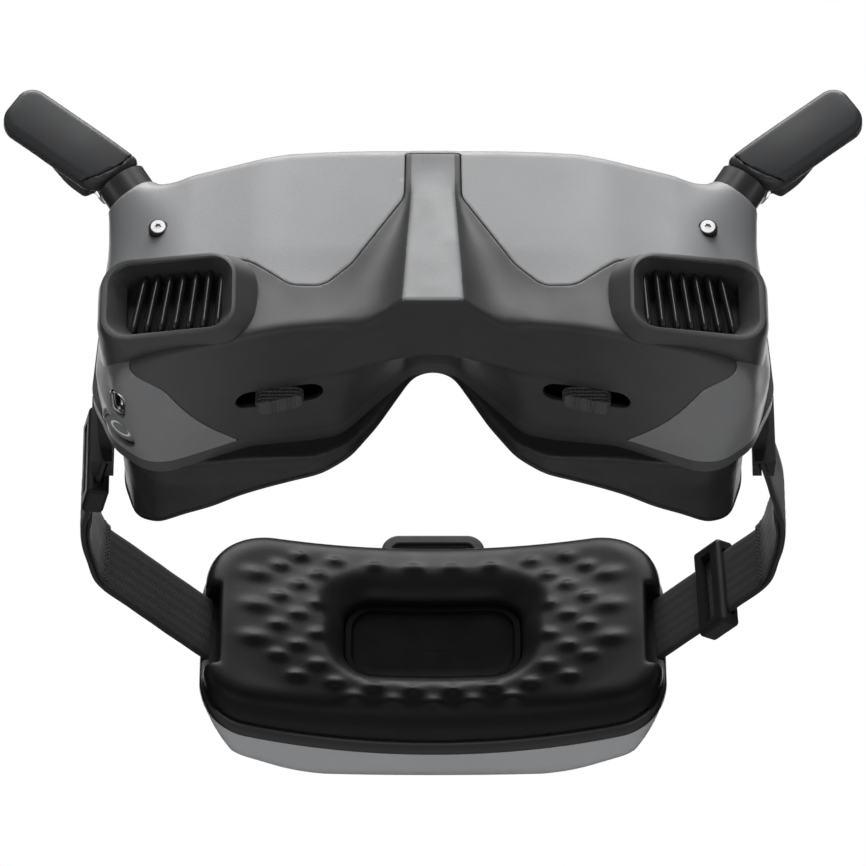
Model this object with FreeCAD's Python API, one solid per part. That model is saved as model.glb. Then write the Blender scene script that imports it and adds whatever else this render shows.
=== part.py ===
"""First-person-view drone goggles with a headband battery.

Millimetres. +Z up, the wearer looks towards -Y, the wearer's left is +X.
The origin is midway between the wearer's eyes. Names ending in _right are on the wearer's right (-X).
"""
import FreeCAD
import Part
import math
import os

V = FreeCAD.Vector

# ---------------------------------------------------------------- driving dimensions
WALL = 2.2                 # moulded shell thickness
BODY_TOP = 36.5            # top of the housing
BODY_HALF_WIDTH = 86.0
SHELL_REAR = -18.0         # where the shells meet the rear frame
FRAME_REAR = -13.0         # where the rear frame meets the face cushion
FRONT_Y = -61.0            # front of the shell at the level FRONT_Z
FRONT_Z = -14.0
FRONT_RAKE = 0.24          # how far the front leans back, mm per mm of height
NOSE_Y = -70.0             # tip of the central prow

EYE_X = 32.0               # half the middle pupil distance
IPD_TRAVEL = 4.0           # each eye either way
BARREL_R = 18.0
LENS_SEAT_R = 16.6         # bore that takes a corrective lens insert
LENS_SEAT_DEPTH = 3.0
ROD_R = 1.5
ROD_Y = -24.0
ROD_Z = 22.0
KNOB_X, KNOB_Y = 38.0, -37.0
KNOB_LOW = -28.2           # lowest point of the knob's middle
KNOB_TOP = -24.6
ARM_Z = -20.5              # underside of the arm that carries the knob

POD_X0, POD_X1 = 43.5, 81.0          # vent pod, inner and outer side
POD_Z0, POD_Z1 = -26.0, -0.5
POD_FRONT = -65.0

ANTENNA_BASE = V(-75.6, -35.2, 31.8)   # where the neck leaves the shoulder
ANTENNA_AXIS = V(-0.55, -0.15, 0.82)
NECK_R = 6.5
SPIGOT_R = 4.5              # the part of the neck inside the shoulder
HINGE_N, HINGE_A = -4.0, 8.0         # hinge pin, behind and above the neck's base
PADDLE_LEAN = math.radians(21.5)
PADDLE_LENGTH = 33.0
PIN_R = 1.4

CORNER_N = V(-0.555, 0.0, -0.832)    # outward normal of the lower corner face
BUTTON_AT = V(-77.5, -25.0, -27.7)
USB_AT = V(-77.5, -38.0, -27.7)
BUTTON_R = 4.7
BUTTON_HOLE_R = 5.0
BUTTON_TRAVEL = 0.8

JOY_TILT = -4.9            # height of the joystick's gimbal, from the brow
JOY_AT = V(-44.0, -33.0, 35.5)
BACK_AT = V(-30.0, -33.0, 36.5)

FAN_R = 13.0
FAN_Y = -32.0

PIVOT_Y, PIVOT_Z = -6.0, -13.0       # headband hinge axis
STRAP_T = 2.0
STRAP_W = 19.0
STRAP_FALL = [(0.0, -12.5), (75.0, -15.9), (112.0, -19.2)]   # y, z: the strap falls towards the nape
PACK_AT = V(0, 124.0, -19.8)
PACK_TILT = -8.0
PACK_HALF_W, PACK_HALF_H = 63.3, 29.3
HEAD_R = 144.0                       # curve of the battery pack round the head
PAD_T = 13.0

CLEAR = 0.3                          # between parts that move past each other

os.makedirs("parts", exist_ok=True)


# ---------------------------------------------------------------- helpers
def box(x0, x1, y0, y1, z0, z1):
    return Part.makeBox(x1 - x0, y1 - y0, z1 - z0, V(x0, y0, z0))


def cyl(radius, start, direction, length):
    return Part.makeCylinder(radius, length, start, direction)


def rounded_wire(points, place):
    """Closed wire through points (a, b, radius); place turns (a, b) into a 3-D point."""
    count = len(points)
    edges, starts, ends, mids = [], [], [], []
    for i, (a, b, radius) in enumerate(points):
        pa, pb = points[i - 1][:2]
        na, nb = points[(i + 1) % count][:2]
        u = V(pa - a, pb - b, 0)
        w = V(na - a, nb - b, 0)
        room = 0.49 * min(u.Length, w.Length)
        u.normalize()
        w.normalize()
        turn = math.pi - u.getAngle(w)
        tangent = min(radius * math.tan(turn / 2), room) if radius and turn > 0.01 else 0
        corner = V(a, b, 0)
        starts.append(corner + u * tangent)
        ends.append(corner + w * tangent)
        if tangent:
            real = tangent / math.tan(turn / 2)
            bisector = (u + w).normalize()
            mids.append(corner + bisector * (real / math.cos(turn / 2) - real))
        else:
            mids.append(None)
    for i in range(count):
        if mids[i] is not None:
            a, m, b = (place(p.x, p.y) for p in (starts[i], mids[i], ends[i]))
            edges.append(Part.Arc(a, m, b).toShape())
        after = (i + 1) % count
        a, b = place(ends[i].x, ends[i].y), place(starts[after].x, starts[after].y)
        if (a - b).Length > 1e-6:
            edges.append(Part.makeLine(a, b))
    return Part.Wire(edges)


def face_xz(points, y=0.0):
    return Part.Face(rounded_wire(points, lambda a, b: V(a, y, b)))


def face_xy(points, z=0.0):
    return Part.Face(rounded_wire(points, lambda a, b: V(a, b, z)))


def prism_xz(points, y0, y1):
    return face_xz(points, y0).extrude(V(0, y1 - y0, 0))


def prism_xy(points, z0, z1):
    return face_xy(points, z0).extrude(V(0, 0, z1 - z0))


def prism_yz(points, x0, x1):
    wire = rounded_wire(points, lambda a, b: V(x0, a, b))
    return Part.Face(wire).extrude(V(x1 - x0, 0, 0))


def both_sides(half):
    """A symmetric outline from the points of its half with x above 0, first and last on the axis or mirrored."""
    other = [(-a, b, r) for a, b, r in reversed(half) if abs(a) > 1e-9]
    return half + other


def inset(face, distance):
    return face.makeOffset2D(-distance)


def mirrored(shape):
    return shape.mirror(V(0, 0, 0), V(1, 0, 0))


def rect(x0, x1, z0, z1, r):
    return [(x0, z0, r), (x1, z0, r), (x1, z1, r), (x0, z1, r)]


def group(*shapes):
    solids = [s for shape in shapes for s in shape.Solids]
    return solids[0] if len(solids) == 1 else Part.makeCompound(solids)


def fillet_where(shape, radius, keep):
    edges = [e for e in shape.Edges if keep(e)]
    try:
        done = shape.makeFillet(radius, edges)
        return done if done.isValid() and done.Volume > 0 else shape
    except Exception:
        return shape


def along(direction):
    """True for the edges of a shape that run along a direction."""
    def test(edge):
        if not isinstance(edge.Curve, Part.Line):
            return False
        t = edge.tangentAt(edge.FirstParameter)
        return abs(t.dot(V(direction).normalize())) > 0.999
    return test


def save(name, shape):
    """Writes one node, and says how many solids it has and how big they are."""
    shape = group(shape)
    bad = [s for s in shape.Solids if not s.isValid() or s.Volume <= 0]
    b = shape.BoundBox
    print(f"{name:24s} solids {len(shape.Solids)} volume {shape.Volume:9.1f}"
          f" x {b.XMin:7.1f} {b.XMax:7.1f} y {b.YMin:7.1f} {b.YMax:7.1f} z {b.ZMin:7.1f} {b.ZMax:7.1f}"
          f"{'  INVALID' if bad or not shape.Solids else ''}")
    shape.exportStep(f"parts/{name}.step")


# ---------------------------------------------------------------- housing
OUTLINE_HALF = [            # front view: nose arch, cheek, lower corner, side, brow
    (0, -5.8, 0), (5.5, -6.4, 8), (23, -23.7, 10), (31, -25.2, 12), (46, -26.8, 20), (70, -35.5, 12), (80, -28, 12),
    (BODY_HALF_WIDTH, -15, 12), (84.5, 5, 20), (80, 27, 9), (60, 33.5, 30), (36, BODY_TOP, 30),
]
PLAN_HALF = [               # seen from above at the level FRONT_Z
    (0, FRONT_Y, 0), (42, FRONT_Y, 40), (66, -56, 30), (80, -46, 16), (BODY_HALF_WIDTH, -30, 12),
    (BODY_HALF_WIDTH, 5, 0),
]
UNDER_FRONT = (-66.0, 30.0, -16.0, -24.5)    # y, half width and height of the dished middle, height outside it
UNDER_REAR = (-16.0, 22.0, -27.0, -37.0)
UNDER_SLOPE = 0.24                           # fall of the sides between the two, mm per mm


def below(p0, p1, p2):
    """A deep block under the plane through three points."""
    normal = (p1 - p0).cross(p2 - p0).normalize()
    if normal.z < 0:
        normal = normal * -1
    block = Part.makeBox(500, 500, 150, V(-250, -250, -150))
    block.Placement = FreeCAD.Placement((p0 + p1 + p2) * (1 / 3), FreeCAD.Rotation(V(0, 0, 1), normal))
    return block


def under_cutter(lift):
    """What is cut away below: a dished middle between two lower outer parts."""
    (yf, xf, mid_f, out_f), (yr, xr, mid_r, out_r) = UNDER_FRONT, UNDER_REAR
    outer = below(V(0, yf, out_f), V(50, yf, out_f), V(0, yr, out_r))
    middle = below(V(0, yf, mid_f), V(50, yf, mid_f), V(0, yr, mid_r))
    for s in (-1, 1):
        away = V(s * 20, 0, -20 * UNDER_SLOPE)
        corner = V(s * xf, yf, mid_f)
        middle = middle.common(below(corner, V(s * xr, yr, mid_r), corner + away))
    return outer.fuse(middle).translated(V(0, 0, lift))


def body_block(grow_in, rear):
    """The housing's outer block, or with grow_in its hollow, cut off at y = rear."""
    outline = inset(face_xz(both_sides(OUTLINE_HALF), -90), grow_in) if grow_in else face_xz(
        both_sides(OUTLINE_HALF), -90)
    block = outline.extrude(V(0, 100, 0))
    low, high = -45.0, 45.0
    plan_points = both_sides(PLAN_HALF)
    plan = face_xy(plan_points, FRONT_Z)
    if grow_in:
        plan = inset(plan, grow_in)
        plan = plan.fuse(plan.translated(V(0, 20, 0))).removeSplitter()
    plan = plan.translated(V(0, (low - FRONT_Z) * FRONT_RAKE, low - FRONT_Z))
    block = block.common(plan.extrude(V(0, (high - low) * FRONT_RAKE, high - low)))
    block = block.cut(under_cutter(grow_in * 1.04))
    return block.common(box(-100, 100, -95, rear, -60, 60))


def prow(grow_in):
    """The central prow: four-sided sections from the brow down to the nose."""
    g = grow_in
    sections = [            # z, front y, half width in front, back y, half width behind
        (BODY_TOP - g, -50.5 + g, 5.2 - g * 0.6, -44, 7.0 - g),
        (22.0, -56.0 + g * 1.1, 5.4 - g * 0.6, -48, 7.6 - g),
        (-16.0 + g, NOSE_Y + g * 1.3, 7.4 - g * 0.6, -52, 24.0 - g),
        (-21.0 + g, -58.0 + g * 1.3, 9.0 - g, -48, 19.0 - g),
    ]
    wires = []
    for z, front, wf, back, wb in sections:
        p = [V(-wf, front, z), V(wf, front, z), V(wb, back, z), V(-wb, back, z)]
        wires.append(Part.makePolygon(p + [p[0]]))
    return Part.makeLoft(wires, True, True)


def mask_region():
    """Where the dark front mask reaches, seen from the front, as a prism along Y."""
    half = [(0, BODY_TOP - 1.2, 0), (6.9, BODY_TOP - 1.2, 1), (7.1, 21, 6), (20, 0, 12), (27, -6.8, 6), (35, -6.5, 6),
            (46, 2.2, 8), (60, 3.4, 10), (76, 3.2, 6), (POD_X1, -3, 4), (POD_X1, -60, 0), (0, -60, 0)]
    return prism_xz(both_sides(half), -95, -10)


def corner_region():
    """The lower corners, seen from below, that belong to the main cover."""
    half = [(POD_X1 + 8, -57.5, 0), (POD_X1, -57.5, 0), (73.5, -52, 6), (66, -46.5, 8), (62, -40, 6), (43.6, -10, 0),
            (POD_X1 + 8, -10, 0)]
    one = prism_xy(half, -60, -14.5)
    return one.fuse(mirrored(one))


def pod_outline(gap=0.0):
    return rect(POD_X0 - gap, POD_X1, POD_Z0 - gap, POD_Z1 + gap, 7)


def cover_cuts():
    """Holes in the main cover: button, charging port, antenna necks, top controls, screws."""
    cuts = [cyl(BUTTON_HOLE_R, BUTTON_AT + CORNER_N * 6, CORNER_N * -1, 14), usb_block(3.6, 9.4, 8)]
    neck = cyl(SPIGOT_R + 0.02, ANTENNA_BASE - axis_a() * 16, axis_a(), 24)
    cuts += [neck, mirrored(neck)]
    cuts.append(cyl(5.6, JOY_AT - V(0, 0, 6), V(0, 0, 1), 10))
    cuts.append(cyl(3.0 + CLEAR, BACK_AT - V(0, 0, 6), V(0, 0, 1), 10))
    for x in (-SCREW_X, SCREW_X):
        cuts.append(cyl(1.1, V(x, -70, SCREW_Z), V(0, 1, 0), 30))
    return cuts


SCREW_X, SCREW_Z = 68.5, 17.5
SCREW_FACE = -48.6          # the cover's face at the screws


def housing():
    shoulder = Part.makeCone(10.0, NECK_R + 0.4, 14.0, ANTENNA_BASE - axis_a() * 14.0, axis_a())
    shoulder = shoulder.common(box(-100, 0, -95, SHELL_REAR, 0, 60))
    outer = body_block(0, SHELL_REAR).multiFuse([prow(0), shoulder, mirrored(shoulder)]).removeSplitter()
    inner = body_block(WALL, SHELL_REAR + 5).fuse(prow(WALL))
    shell = outer.cut(inner)
    region = mask_region()
    corners = corner_region()
    mask = shell.common(region).cut(corners)
    cover = shell.cut(region).fuse(shell.common(region).common(corners)).removeSplitter()
    pod = prism_xz(pod_outline(), -95, -42)
    mask = mask.cut(pod).cut(mirrored(pod))
    cover = cover.cut(pod).cut(mirrored(pod))
    slot = prism_xy(rect(KNOB_X - 10.9, KNOB_X + 10.9, KNOB_Y - 3.7, KNOB_Y + 3.7, 3.5), -60, -16)
    mask = mask.cut(slot).cut(mirrored(slot))
    for cut in cover_cuts():
        cover = cover.cut(cut)
    save("main_cover", biggest(cover, 200))
    save("front_mask", biggest(mask, 200))


def biggest(shape, least):
    """The shape's solids above a volume, so that slivers left by the cuts are dropped."""
    return group(*[s for s in shape.Solids if s.Volume > least])


def vent_frame(side):
    """The pod round one air vent: a rounded frame with a splayed mouth."""
    body = prism_xz(pod_outline(), POD_FRONT, -38)
    body = fillet_where(body, 1.6, lambda e: e.BoundBox.YMax < POD_FRONT + 0.1)
    plan = prism_xy([(POD_X0 - 1, -70, 0), (POD_X1 + 1, -70, 0), (POD_X1 + 1, -42, 0), (62, -53, 0),
                     (POD_X0 - 1, -53.2, 0)], -60, 30)
    mouth = Part.makeLoft([
        rounded_wire(rect(POD_X0 + 3.2, POD_X1 - 2.4, POD_Z0 + 3.0, POD_Z1 - 3.0, 6),
                     lambda a, b: V(a, POD_FRONT - 0.01, b)),
        rounded_wire(rect(POD_X0 + 5.0, POD_X1 - 7.0, POD_Z0 + 4.6, POD_Z1 - 4.2, 5),
                     lambda a, b: V(a, -57, b)),
    ], True, True)
    throat = prism_xz(rect(POD_X0 + 4.0, POD_X1 - 6.0, POD_Z0 + 3.6, POD_Z1 - 3.2, 5), -57, -30)
    body = body.common(plan).cut(mouth).cut(throat)
    save(f"vent_frame_{side}", mirrored(body) if side == "right" else body)


def vent_grille(side):
    """Seven raked fins on a thin plate with slots between them."""
    x0, x1 = POD_X0 + 4.1, POD_X1 - 6.1
    z0, z1 = POD_Z0 + 3.7, POD_Z1 - 3.3
    plate = prism_xz(rect(x0, x1, z0, z1, 4.9), -54.4, -53.2)
    mouth = prism_xz(rect(x0 + 1.2, x1 - 1.2, z0 + 1.2, z1 - 1.2, 4.5), -60, -50)
    fins = []
    pitch, fin_w = 3.35, 1.5
    lean = 2.4
    for i in range(7):
        x = x0 + 4.4 + pitch * i
        fin = prism_xz([(x, z0 + 0.8, 0.5), (x + fin_w, z0 + 0.8, 0.5),
                        (x + fin_w - lean, z1 - 1.2, 0.5), (x - lean, z1 - 1.2, 0.5)], -58.2, -54.4)
        fins.append(fin.common(mouth))
        if i:
            gap = prism_xz([(x - 1.5, z0 + 2.6, 0.3), (x - 0.4, z0 + 2.6, 0.3),
                            (x - 0.4 - lean, z1 - 3.0, 0.3), (x - 1.5 - lean, z1 - 3.0, 0.3)], -60, -50)
            plate = plate.cut(gap)
    whole = plate.multiFuse(fins).removeSplitter()
    save(f"vent_grille_{side}", mirrored(whole) if side == "right" else whole)


def front_screws():
    """Two six-lobe screws with their rubber seats left to the looks."""
    solids = []
    for x in (-SCREW_X, SCREW_X):
        head = cyl(2.1, V(x, SCREW_FACE - 1.9, SCREW_Z), V(0, 1, 0), 1.4)
        head = fillet_where(head, 0.25, lambda e: e.BoundBox.YMax < SCREW_FACE - 1.8)
        socket = Part.Face(Part.makePolygon([V(x + 0.75 * math.cos(k * math.pi / 3), SCREW_FACE - 2.5,
                                               SCREW_Z + 0.75 * math.sin(k * math.pi / 3)) for k in range(7)]))
        shank = cyl(1.0, V(x, SCREW_FACE - 0.6, SCREW_Z), V(0, 1, 0), 9)
        solids.append(head.fuse(shank).cut(socket.extrude(V(0, 1.3, 0))).removeSplitter())
    save("front_screws", group(*solids))


REAR_WINDOW_R = BARREL_R + 0.9


def rear_frame():
    """The frame that closes the housing, with two eye windows, rod posts and the cushion seat."""
    outline = face_xz(both_sides(OUTLINE_HALF), SHELL_REAR)
    plate = outline.extrude(V(0, 3.0, 0))
    rim = outline.translated(V(0, 3.0, 0)).extrude(V(0, FRAME_REAR - SHELL_REAR - 3.0, 0))
    hollow = inset(outline, 3.0).translated(V(0, 3.0, 0)).extrude(V(0, 10, 0))
    frame = plate.fuse(rim.cut(hollow)).removeSplitter()
    reach = IPD_TRAVEL + REAR_WINDOW_R
    for s in (-1, 1):
        window = prism_xz(rect(s * EYE_X - reach, s * EYE_X + reach, -REAR_WINDOW_R, REAR_WINDOW_R,
                               REAR_WINDOW_R - 0.05), -30, -5)
        frame = frame.cut(window)
        frame = frame.fuse(box(s * 60 - 2, s * 60 + 2, ROD_Y - 3, SHELL_REAR, ROD_Z - 3, ROD_Z + 3))
    frame = frame.cut(cyl(ROD_R, V(-70, ROD_Y, ROD_Z), V(1, 0, 0), 140))
    window = prism_xz(rect(-3.2, 3.2, 8, 14, 1), -30, -5)
    save("rear_frame", frame.cut(window))
    save("proximity_window", prism_xz(rect(-3.2, 3.2, 8, 14, 1), SHELL_REAR, SHELL_REAR + 2.4))
    save("ipd_rod", cyl(ROD_R, V(-62, ROD_Y, ROD_Z), V(1, 0, 0), 124))


CUSHION_HALF = [            # outer edge of the face cushion
    (0, -8.0, 0), (6, -8.6, 7), (23.5, -25, 10), (32, -26.6, 10), (46, -28.2, 20), (69, -34.8, 12), (78, -28, 12),
    (81, -14, 12),
    (80, 6, 20), (76, 25, 10), (56, 32, 25), (34, 34.5, 25),
]
CUSHION_HOLE_HALF = [       # the opening for the eyes
    (0, 1.5, 0), (5, 1.2, 5), (20, -19, 10), (40, -22.5, 14), (58, -22, 12), (67, -10, 10), (67, 10, 12),
    (58, 21, 12), (30, 23, 20),
]
FACE_R = 96.0               # curve of the face, seen from above
FACE_FRONT = -6.0


def face_cushion():
    ring = prism_xz(both_sides(CUSHION_HALF), FRAME_REAR, 36)
    ring = ring.cut(prism_xz(both_sides(CUSHION_HOLE_HALF), FRAME_REAR - 1, 40))
    face = cyl(FACE_R, V(0, FACE_FRONT + FACE_R, -60), V(0, 0, 1), 120)
    cheeks = prism_yz([(FRAME_REAR - 1, -60, 0), (60, -60, 0), (60, -24.4, 0), (FRAME_REAR - 1, -35.2, 0)], -90, 90)
    ear_room = box(79.0, 90, FRAME_REAR - 1, PIVOT_Y + 5.4, PIVOT_Z - 6.4, PIVOT_Z + 6.4)
    save("face_cushion", ring.cut(face).cut(cheeks).cut(ear_room).cut(mirrored(ear_room)))


# ---------------------------------------------------------------- optics
def eye(side):
    s = -1 if side == "right" else 1
    x = s * EYE_X
    barrel = cyl(BARREL_R, V(x, -44, 0), V(0, 1, 0), 30)
    barrel = barrel.cut(cyl(15.0, V(x, -45, 0), V(0, 1, 0), 32))
    barrel = barrel.cut(cyl(16.0, V(x, -22, 0), V(0, 1, 0), 10))
    barrel = barrel.cut(cyl(LENS_SEAT_R, V(x, -14 - LENS_SEAT_DEPTH, 0), V(0, 1, 0), 10))
    lug = box(x - 6, x + 6, ROD_Y - 2.6, ROD_Y + 2.6, 15.5, ROD_Z + 2.4)
    barrel = barrel.fuse(lug.cut(cyl(17.0, V(x, -50, 0), V(0, 1, 0), 50)))
    barrel = barrel.cut(cyl(ROD_R + 0.05, V(x - 20, ROD_Y, ROD_Z), V(1, 0, 0), 40))
    arm = box(s * KNOB_X - 3, s * KNOB_X + 3, KNOB_Y - 2.2, ROD_Y + 2.6, ARM_Z, -15.0)
    arm = arm.cut(cyl(BARREL_R - 1.0, V(x, -50, 0), V(0, 1, 0), 50))
    barrel = barrel.fuse(arm).removeSplitter()
    save(f"eye_barrel_{side}", barrel)
    ball = Part.makeSphere(34.0, V(x, -14 - LENS_SEAT_DEPTH - 34.6, 0))
    lens = cyl(16.0, V(x, -22, 0), V(0, 1, 0), 6).common(ball)
    save(f"eye_lens_{side}", lens)
    inner = cyl(15.0, V(x, -35, 0), V(0, 1, 0), 4).common(Part.makeSphere(40.0, V(x, -35 + 40.2 - 0.2, 0)))
    save(f"inner_lens_{side}", inner)
    panel = box(x - 11.5, x + 11.5, -50, -46.4, -11.5, 11.5)
    holder = box(x - 12.8, x + 12.8, -46.4, -44, -12, 12).cut(box(x - 9.5, x + 9.5, -48, -40, -9.5, 9.5))
    save(f"display_{side}", panel.fuse(holder).removeSplitter())
    half, drop = 6.0, 6.0 * UNDER_SLOPE
    knob = prism_xz([(KNOB_X - half, KNOB_LOW + drop, 2), (KNOB_X + half, KNOB_LOW - drop, 2),
                     (KNOB_X + half, KNOB_TOP, 0), (KNOB_X - half, KNOB_TOP, 0)], KNOB_Y - 3.1, KNOB_Y + 3.1)
    knob = knob.common(prism_xy(rect(KNOB_X - half, KNOB_X + half, KNOB_Y - 3.1, KNOB_Y + 3.1, 2.4), -50, -20))
    stem = box(KNOB_X - 2.5, KNOB_X + 2.5, KNOB_Y - 1.8, KNOB_Y + 1.8, KNOB_TOP - 0.2, ARM_Z)
    knob = knob.fuse(stem).removeSplitter()
    knob = knob if s == 1 else mirrored(knob)
    save(f"ipd_knob_{side}", knob)


# ---------------------------------------------------------------- electronics
def electronics():
    board = prism_xy([(-58, -42, 2), (58, -42, 2), (58, -20, 2), (-58, -20, 2)], 25.2, 26.4)
    chips = [box(-34, -20, -40, -26, 26.4, 27.8), box(-50, -40, -38, -28, 26.4, 27.6),
             box(40, 54, -36, -24, 26.4, 27.4)]
    save("main_board", board.multiFuse(chips).removeSplitter())
    sink = box(18, 38, -41, -21, 26.4, 28.0)
    fins = [box(18, 38, -41 + 2.4 * i, -40.1 + 2.4 * i, 28.0, 32.4) for i in range(9)]
    save("heat_sink", sink.multiFuse(fins).removeSplitter())
    frame = prism_xy([(-15, FAN_Y - 13.5, 3), (15, FAN_Y - 13.5, 3), (15, FAN_Y + 13.5, 3), (-15, FAN_Y + 13.5, 3)],
                     26.4, 33.4)
    frame = frame.common(cyl(40, V(0, FAN_Y, 20), V(0, 0, 1), 20))
    cavity = cyl(FAN_R, V(0, FAN_Y, 27.2), V(0, 0, 1), 10)
    outlet = box(-15.5, -7, FAN_Y - 9, FAN_Y + 4, 27.6, 32.4)
    frame = frame.cut(cavity).cut(outlet)
    post = cyl(0.75, V(0, FAN_Y, 27.0), V(0, 0, 1), 5.0)
    save("fan_housing", frame.fuse(post).removeSplitter())
    hub = cyl(4.6, V(0, FAN_Y, 27.7), V(0, 0, 1), 4.9).cut(cyl(0.8, V(0, FAN_Y, 27.0), V(0, 0, 1), 5.1))
    blades = []
    for i in range(9):
        blade = box(4.0, FAN_R - 0.8, FAN_Y - 0.45, FAN_Y + 0.45, 27.9, 32.4)
        blade.rotate(V(6, FAN_Y, 0), V(0, 0, 1), 24)
        blade.rotate(V(0, FAN_Y, 0), V(0, 0, 1), 40 * i)
        blades.append(blade)
    wheel = hub.multiFuse(blades).common(cyl(FAN_R - 0.5, V(0, FAN_Y, 20), V(0, 0, 1), 20))
    save("fan_impeller", wheel.removeSplitter())


# ---------------------------------------------------------------- charging port and buttons
def corner_frame():
    """Two directions in the lower corner's face: across it, and along Y."""
    return V(0, 1, 0).cross(CORNER_N).normalize(), V(0, 1, 0)


def usb_block(width, length, depth, out=3.0):
    """A stadium prism on the corner face, length along Y, from `out` above it to `depth` below."""
    across, long = corner_frame()
    start = USB_AT + CORNER_N * out

    def place(a, b):
        return start + across * a + long * b
    wire = rounded_wire(rect(-width / 2, width / 2, -length / 2, length / 2, width / 2 - 0.01), place)
    return Part.Face(wire).extrude(CORNER_N * -(depth + out))


def usb_and_buttons():
    outer = usb_block(3.56, 9.36, 7, -0.3)
    inner = usb_block(2.76, 8.56, 5.6, 1.0)
    shell = outer.cut(inner)
    across, long = corner_frame()
    tongue = Part.makeBox(0.7, 6.7, 4.6, V(-0.35, -3.35, 0))
    turn = FreeCAD.Matrix(across.x, long.x, CORNER_N.x, 0, across.y, long.y, CORNER_N.y, 0,
                          across.z, long.z, CORNER_N.z, 0, 0, 0, 0, 1)
    tongue = tongue.transformGeometry(turn).translated(USB_AT - CORNER_N * 5.6)
    save("usb_socket", group(shell, tongue))

    cap = cyl(BUTTON_R, BUTTON_AT - CORNER_N * 2.4, CORNER_N, 3.0)
    cap = fillet_where(cap, 0.5, lambda e: (V(e.BoundBox.Center) - BUTTON_AT).dot(CORNER_N) > 0.3)
    stem = cyl(1.5, BUTTON_AT - CORNER_N * 3.6, CORNER_N, 1.4)
    button = cap.fuse(stem).removeSplitter()
    ring = cyl(3.0, BUTTON_AT + CORNER_N * 0.35, CORNER_N, 1).cut(cyl(2.3, BUTTON_AT, CORNER_N, 3))
    save("power_button", button.cut(ring))
    inlay = cyl(3.0, BUTTON_AT + CORNER_N * 0.35, CORNER_N, 0.25).cut(cyl(2.3, BUTTON_AT, CORNER_N, 3))
    save("button_light_ring", inlay)
    switch = cyl(2.0, BUTTON_AT - CORNER_N * 6.4, CORNER_N, 1.65)
    plate = cyl(4.0, BUTTON_AT - CORNER_N * 7.2, CORNER_N, 1.0)
    save("power_switch", switch.fuse(plate).removeSplitter())


def top_controls():
    """A joystick in its dish, a back button, and the small board under them."""
    up = V(0, 0, 1)
    tilt_z = JOY_TILT
    dish = cyl(5.6, JOY_AT - up * 6.2, up, 5.8)
    dish = dish.cut(Part.makeCone(2.6, 5.0, 3.4, JOY_AT - up * 3.4, up))
    dish = dish.cut(cyl(2.8, JOY_AT - up * 7, up, 7))
    dish = dish.cut(cyl(0.45, JOY_AT + V(-6, 0, tilt_z), V(1, 0, 0), 12))
    save("joystick_dish", dish)
    ring = cyl(2.3, JOY_AT + up * (tilt_z - 0.7), up, 1.4).cut(cyl(1.4, JOY_AT - up * 7, up, 7))
    pins = [cyl(0.4, JOY_AT + V(s * 2.1, 0, tilt_z), V(s, 0, 0), 1.6) for s in (1, -1)]
    ring = ring.multiFuse(pins).cut(cyl(0.35, JOY_AT + V(0, -3, tilt_z), V(0, 1, 0), 6))
    save("joystick_gimbal", ring.removeSplitter())
    stick = cyl(0.8, JOY_AT + up * (tilt_z - 0.6), up, 5.8)
    cap = Part.makeCone(1.5, 2.4, 1.4, JOY_AT + up * 0.2, up)
    cap = cap.fuse(cyl(2.4, JOY_AT + up * 1.6, up, 0.7))
    cross = cyl(0.3, JOY_AT + V(0, -2.2, tilt_z), V(0, 1, 0), 4.4)
    save("joystick_stick", stick.multiFuse([cap, cross]).removeSplitter())
    button = cyl(3.0, BACK_AT - up * 3.4, up, 4.2)
    button = fillet_where(button, 0.5, lambda e: e.BoundBox.ZMin > BACK_AT.z + 0.5)
    button = button.fuse(cyl(1.2, BACK_AT - up * 5.5, up, 3.0)).removeSplitter()
    save("back_button", button)
    board = box(-52, -24, -40, -26, 28.2, 29.0)
    switch = box(BACK_AT.x - 2.5, BACK_AT.x + 2.5, BACK_AT.y - 2.5, BACK_AT.y + 2.5, 29.0, 29.8)
    save("control_board", board.fuse(switch).removeSplitter())


# ---------------------------------------------------------------- antennas (built on the wearer's right, then mirrored)
def axis_a():
    return V(ANTENNA_AXIS).normalize()


def axis_n():
    """Towards the front, square to the neck."""
    front = V(0, -1, 0)
    a = axis_a()
    return (front - a * front.dot(a)).normalize()


def axis_w():
    return axis_a().cross(axis_n()).normalize()


def antenna_point(w, n, a):
    return ANTENNA_BASE + axis_w() * w + axis_n() * n + axis_a() * a


def paddle_outline(shrink=0.0, start=7.0):
    """Corners (w, a, radius) of the paddle seen from the front."""
    lean_w, lean_a = -math.sin(PADDLE_LEAN), math.cos(PADDLE_LEAN)
    half = 7.0 - shrink
    tip_w = -0.5 + lean_w * (PADDLE_LENGTH - shrink)
    tip_a = 7.0 + lean_a * (PADDLE_LENGTH - shrink)
    low = start + shrink
    drift = math.tan(PADDLE_LEAN) * (low - 7.0)
    wide = half / math.cos(PADDLE_LEAN)
    return [(-0.5 - wide - drift, low, 2.5), (-0.5 + wide - drift, low, 2.5),
            (tip_w + half * lean_a, tip_a - half * lean_w, 4.5),
            (tip_w - half * lean_a, tip_a + half * lean_w, 4.5)]


def paddle_slab(n0, n1, shrink=0.0, start=7.0):
    wire = rounded_wire(paddle_outline(shrink, start), lambda w, a: antenna_point(w, n0, a))
    return Part.Face(wire).extrude(axis_n() * (n1 - n0))


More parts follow.
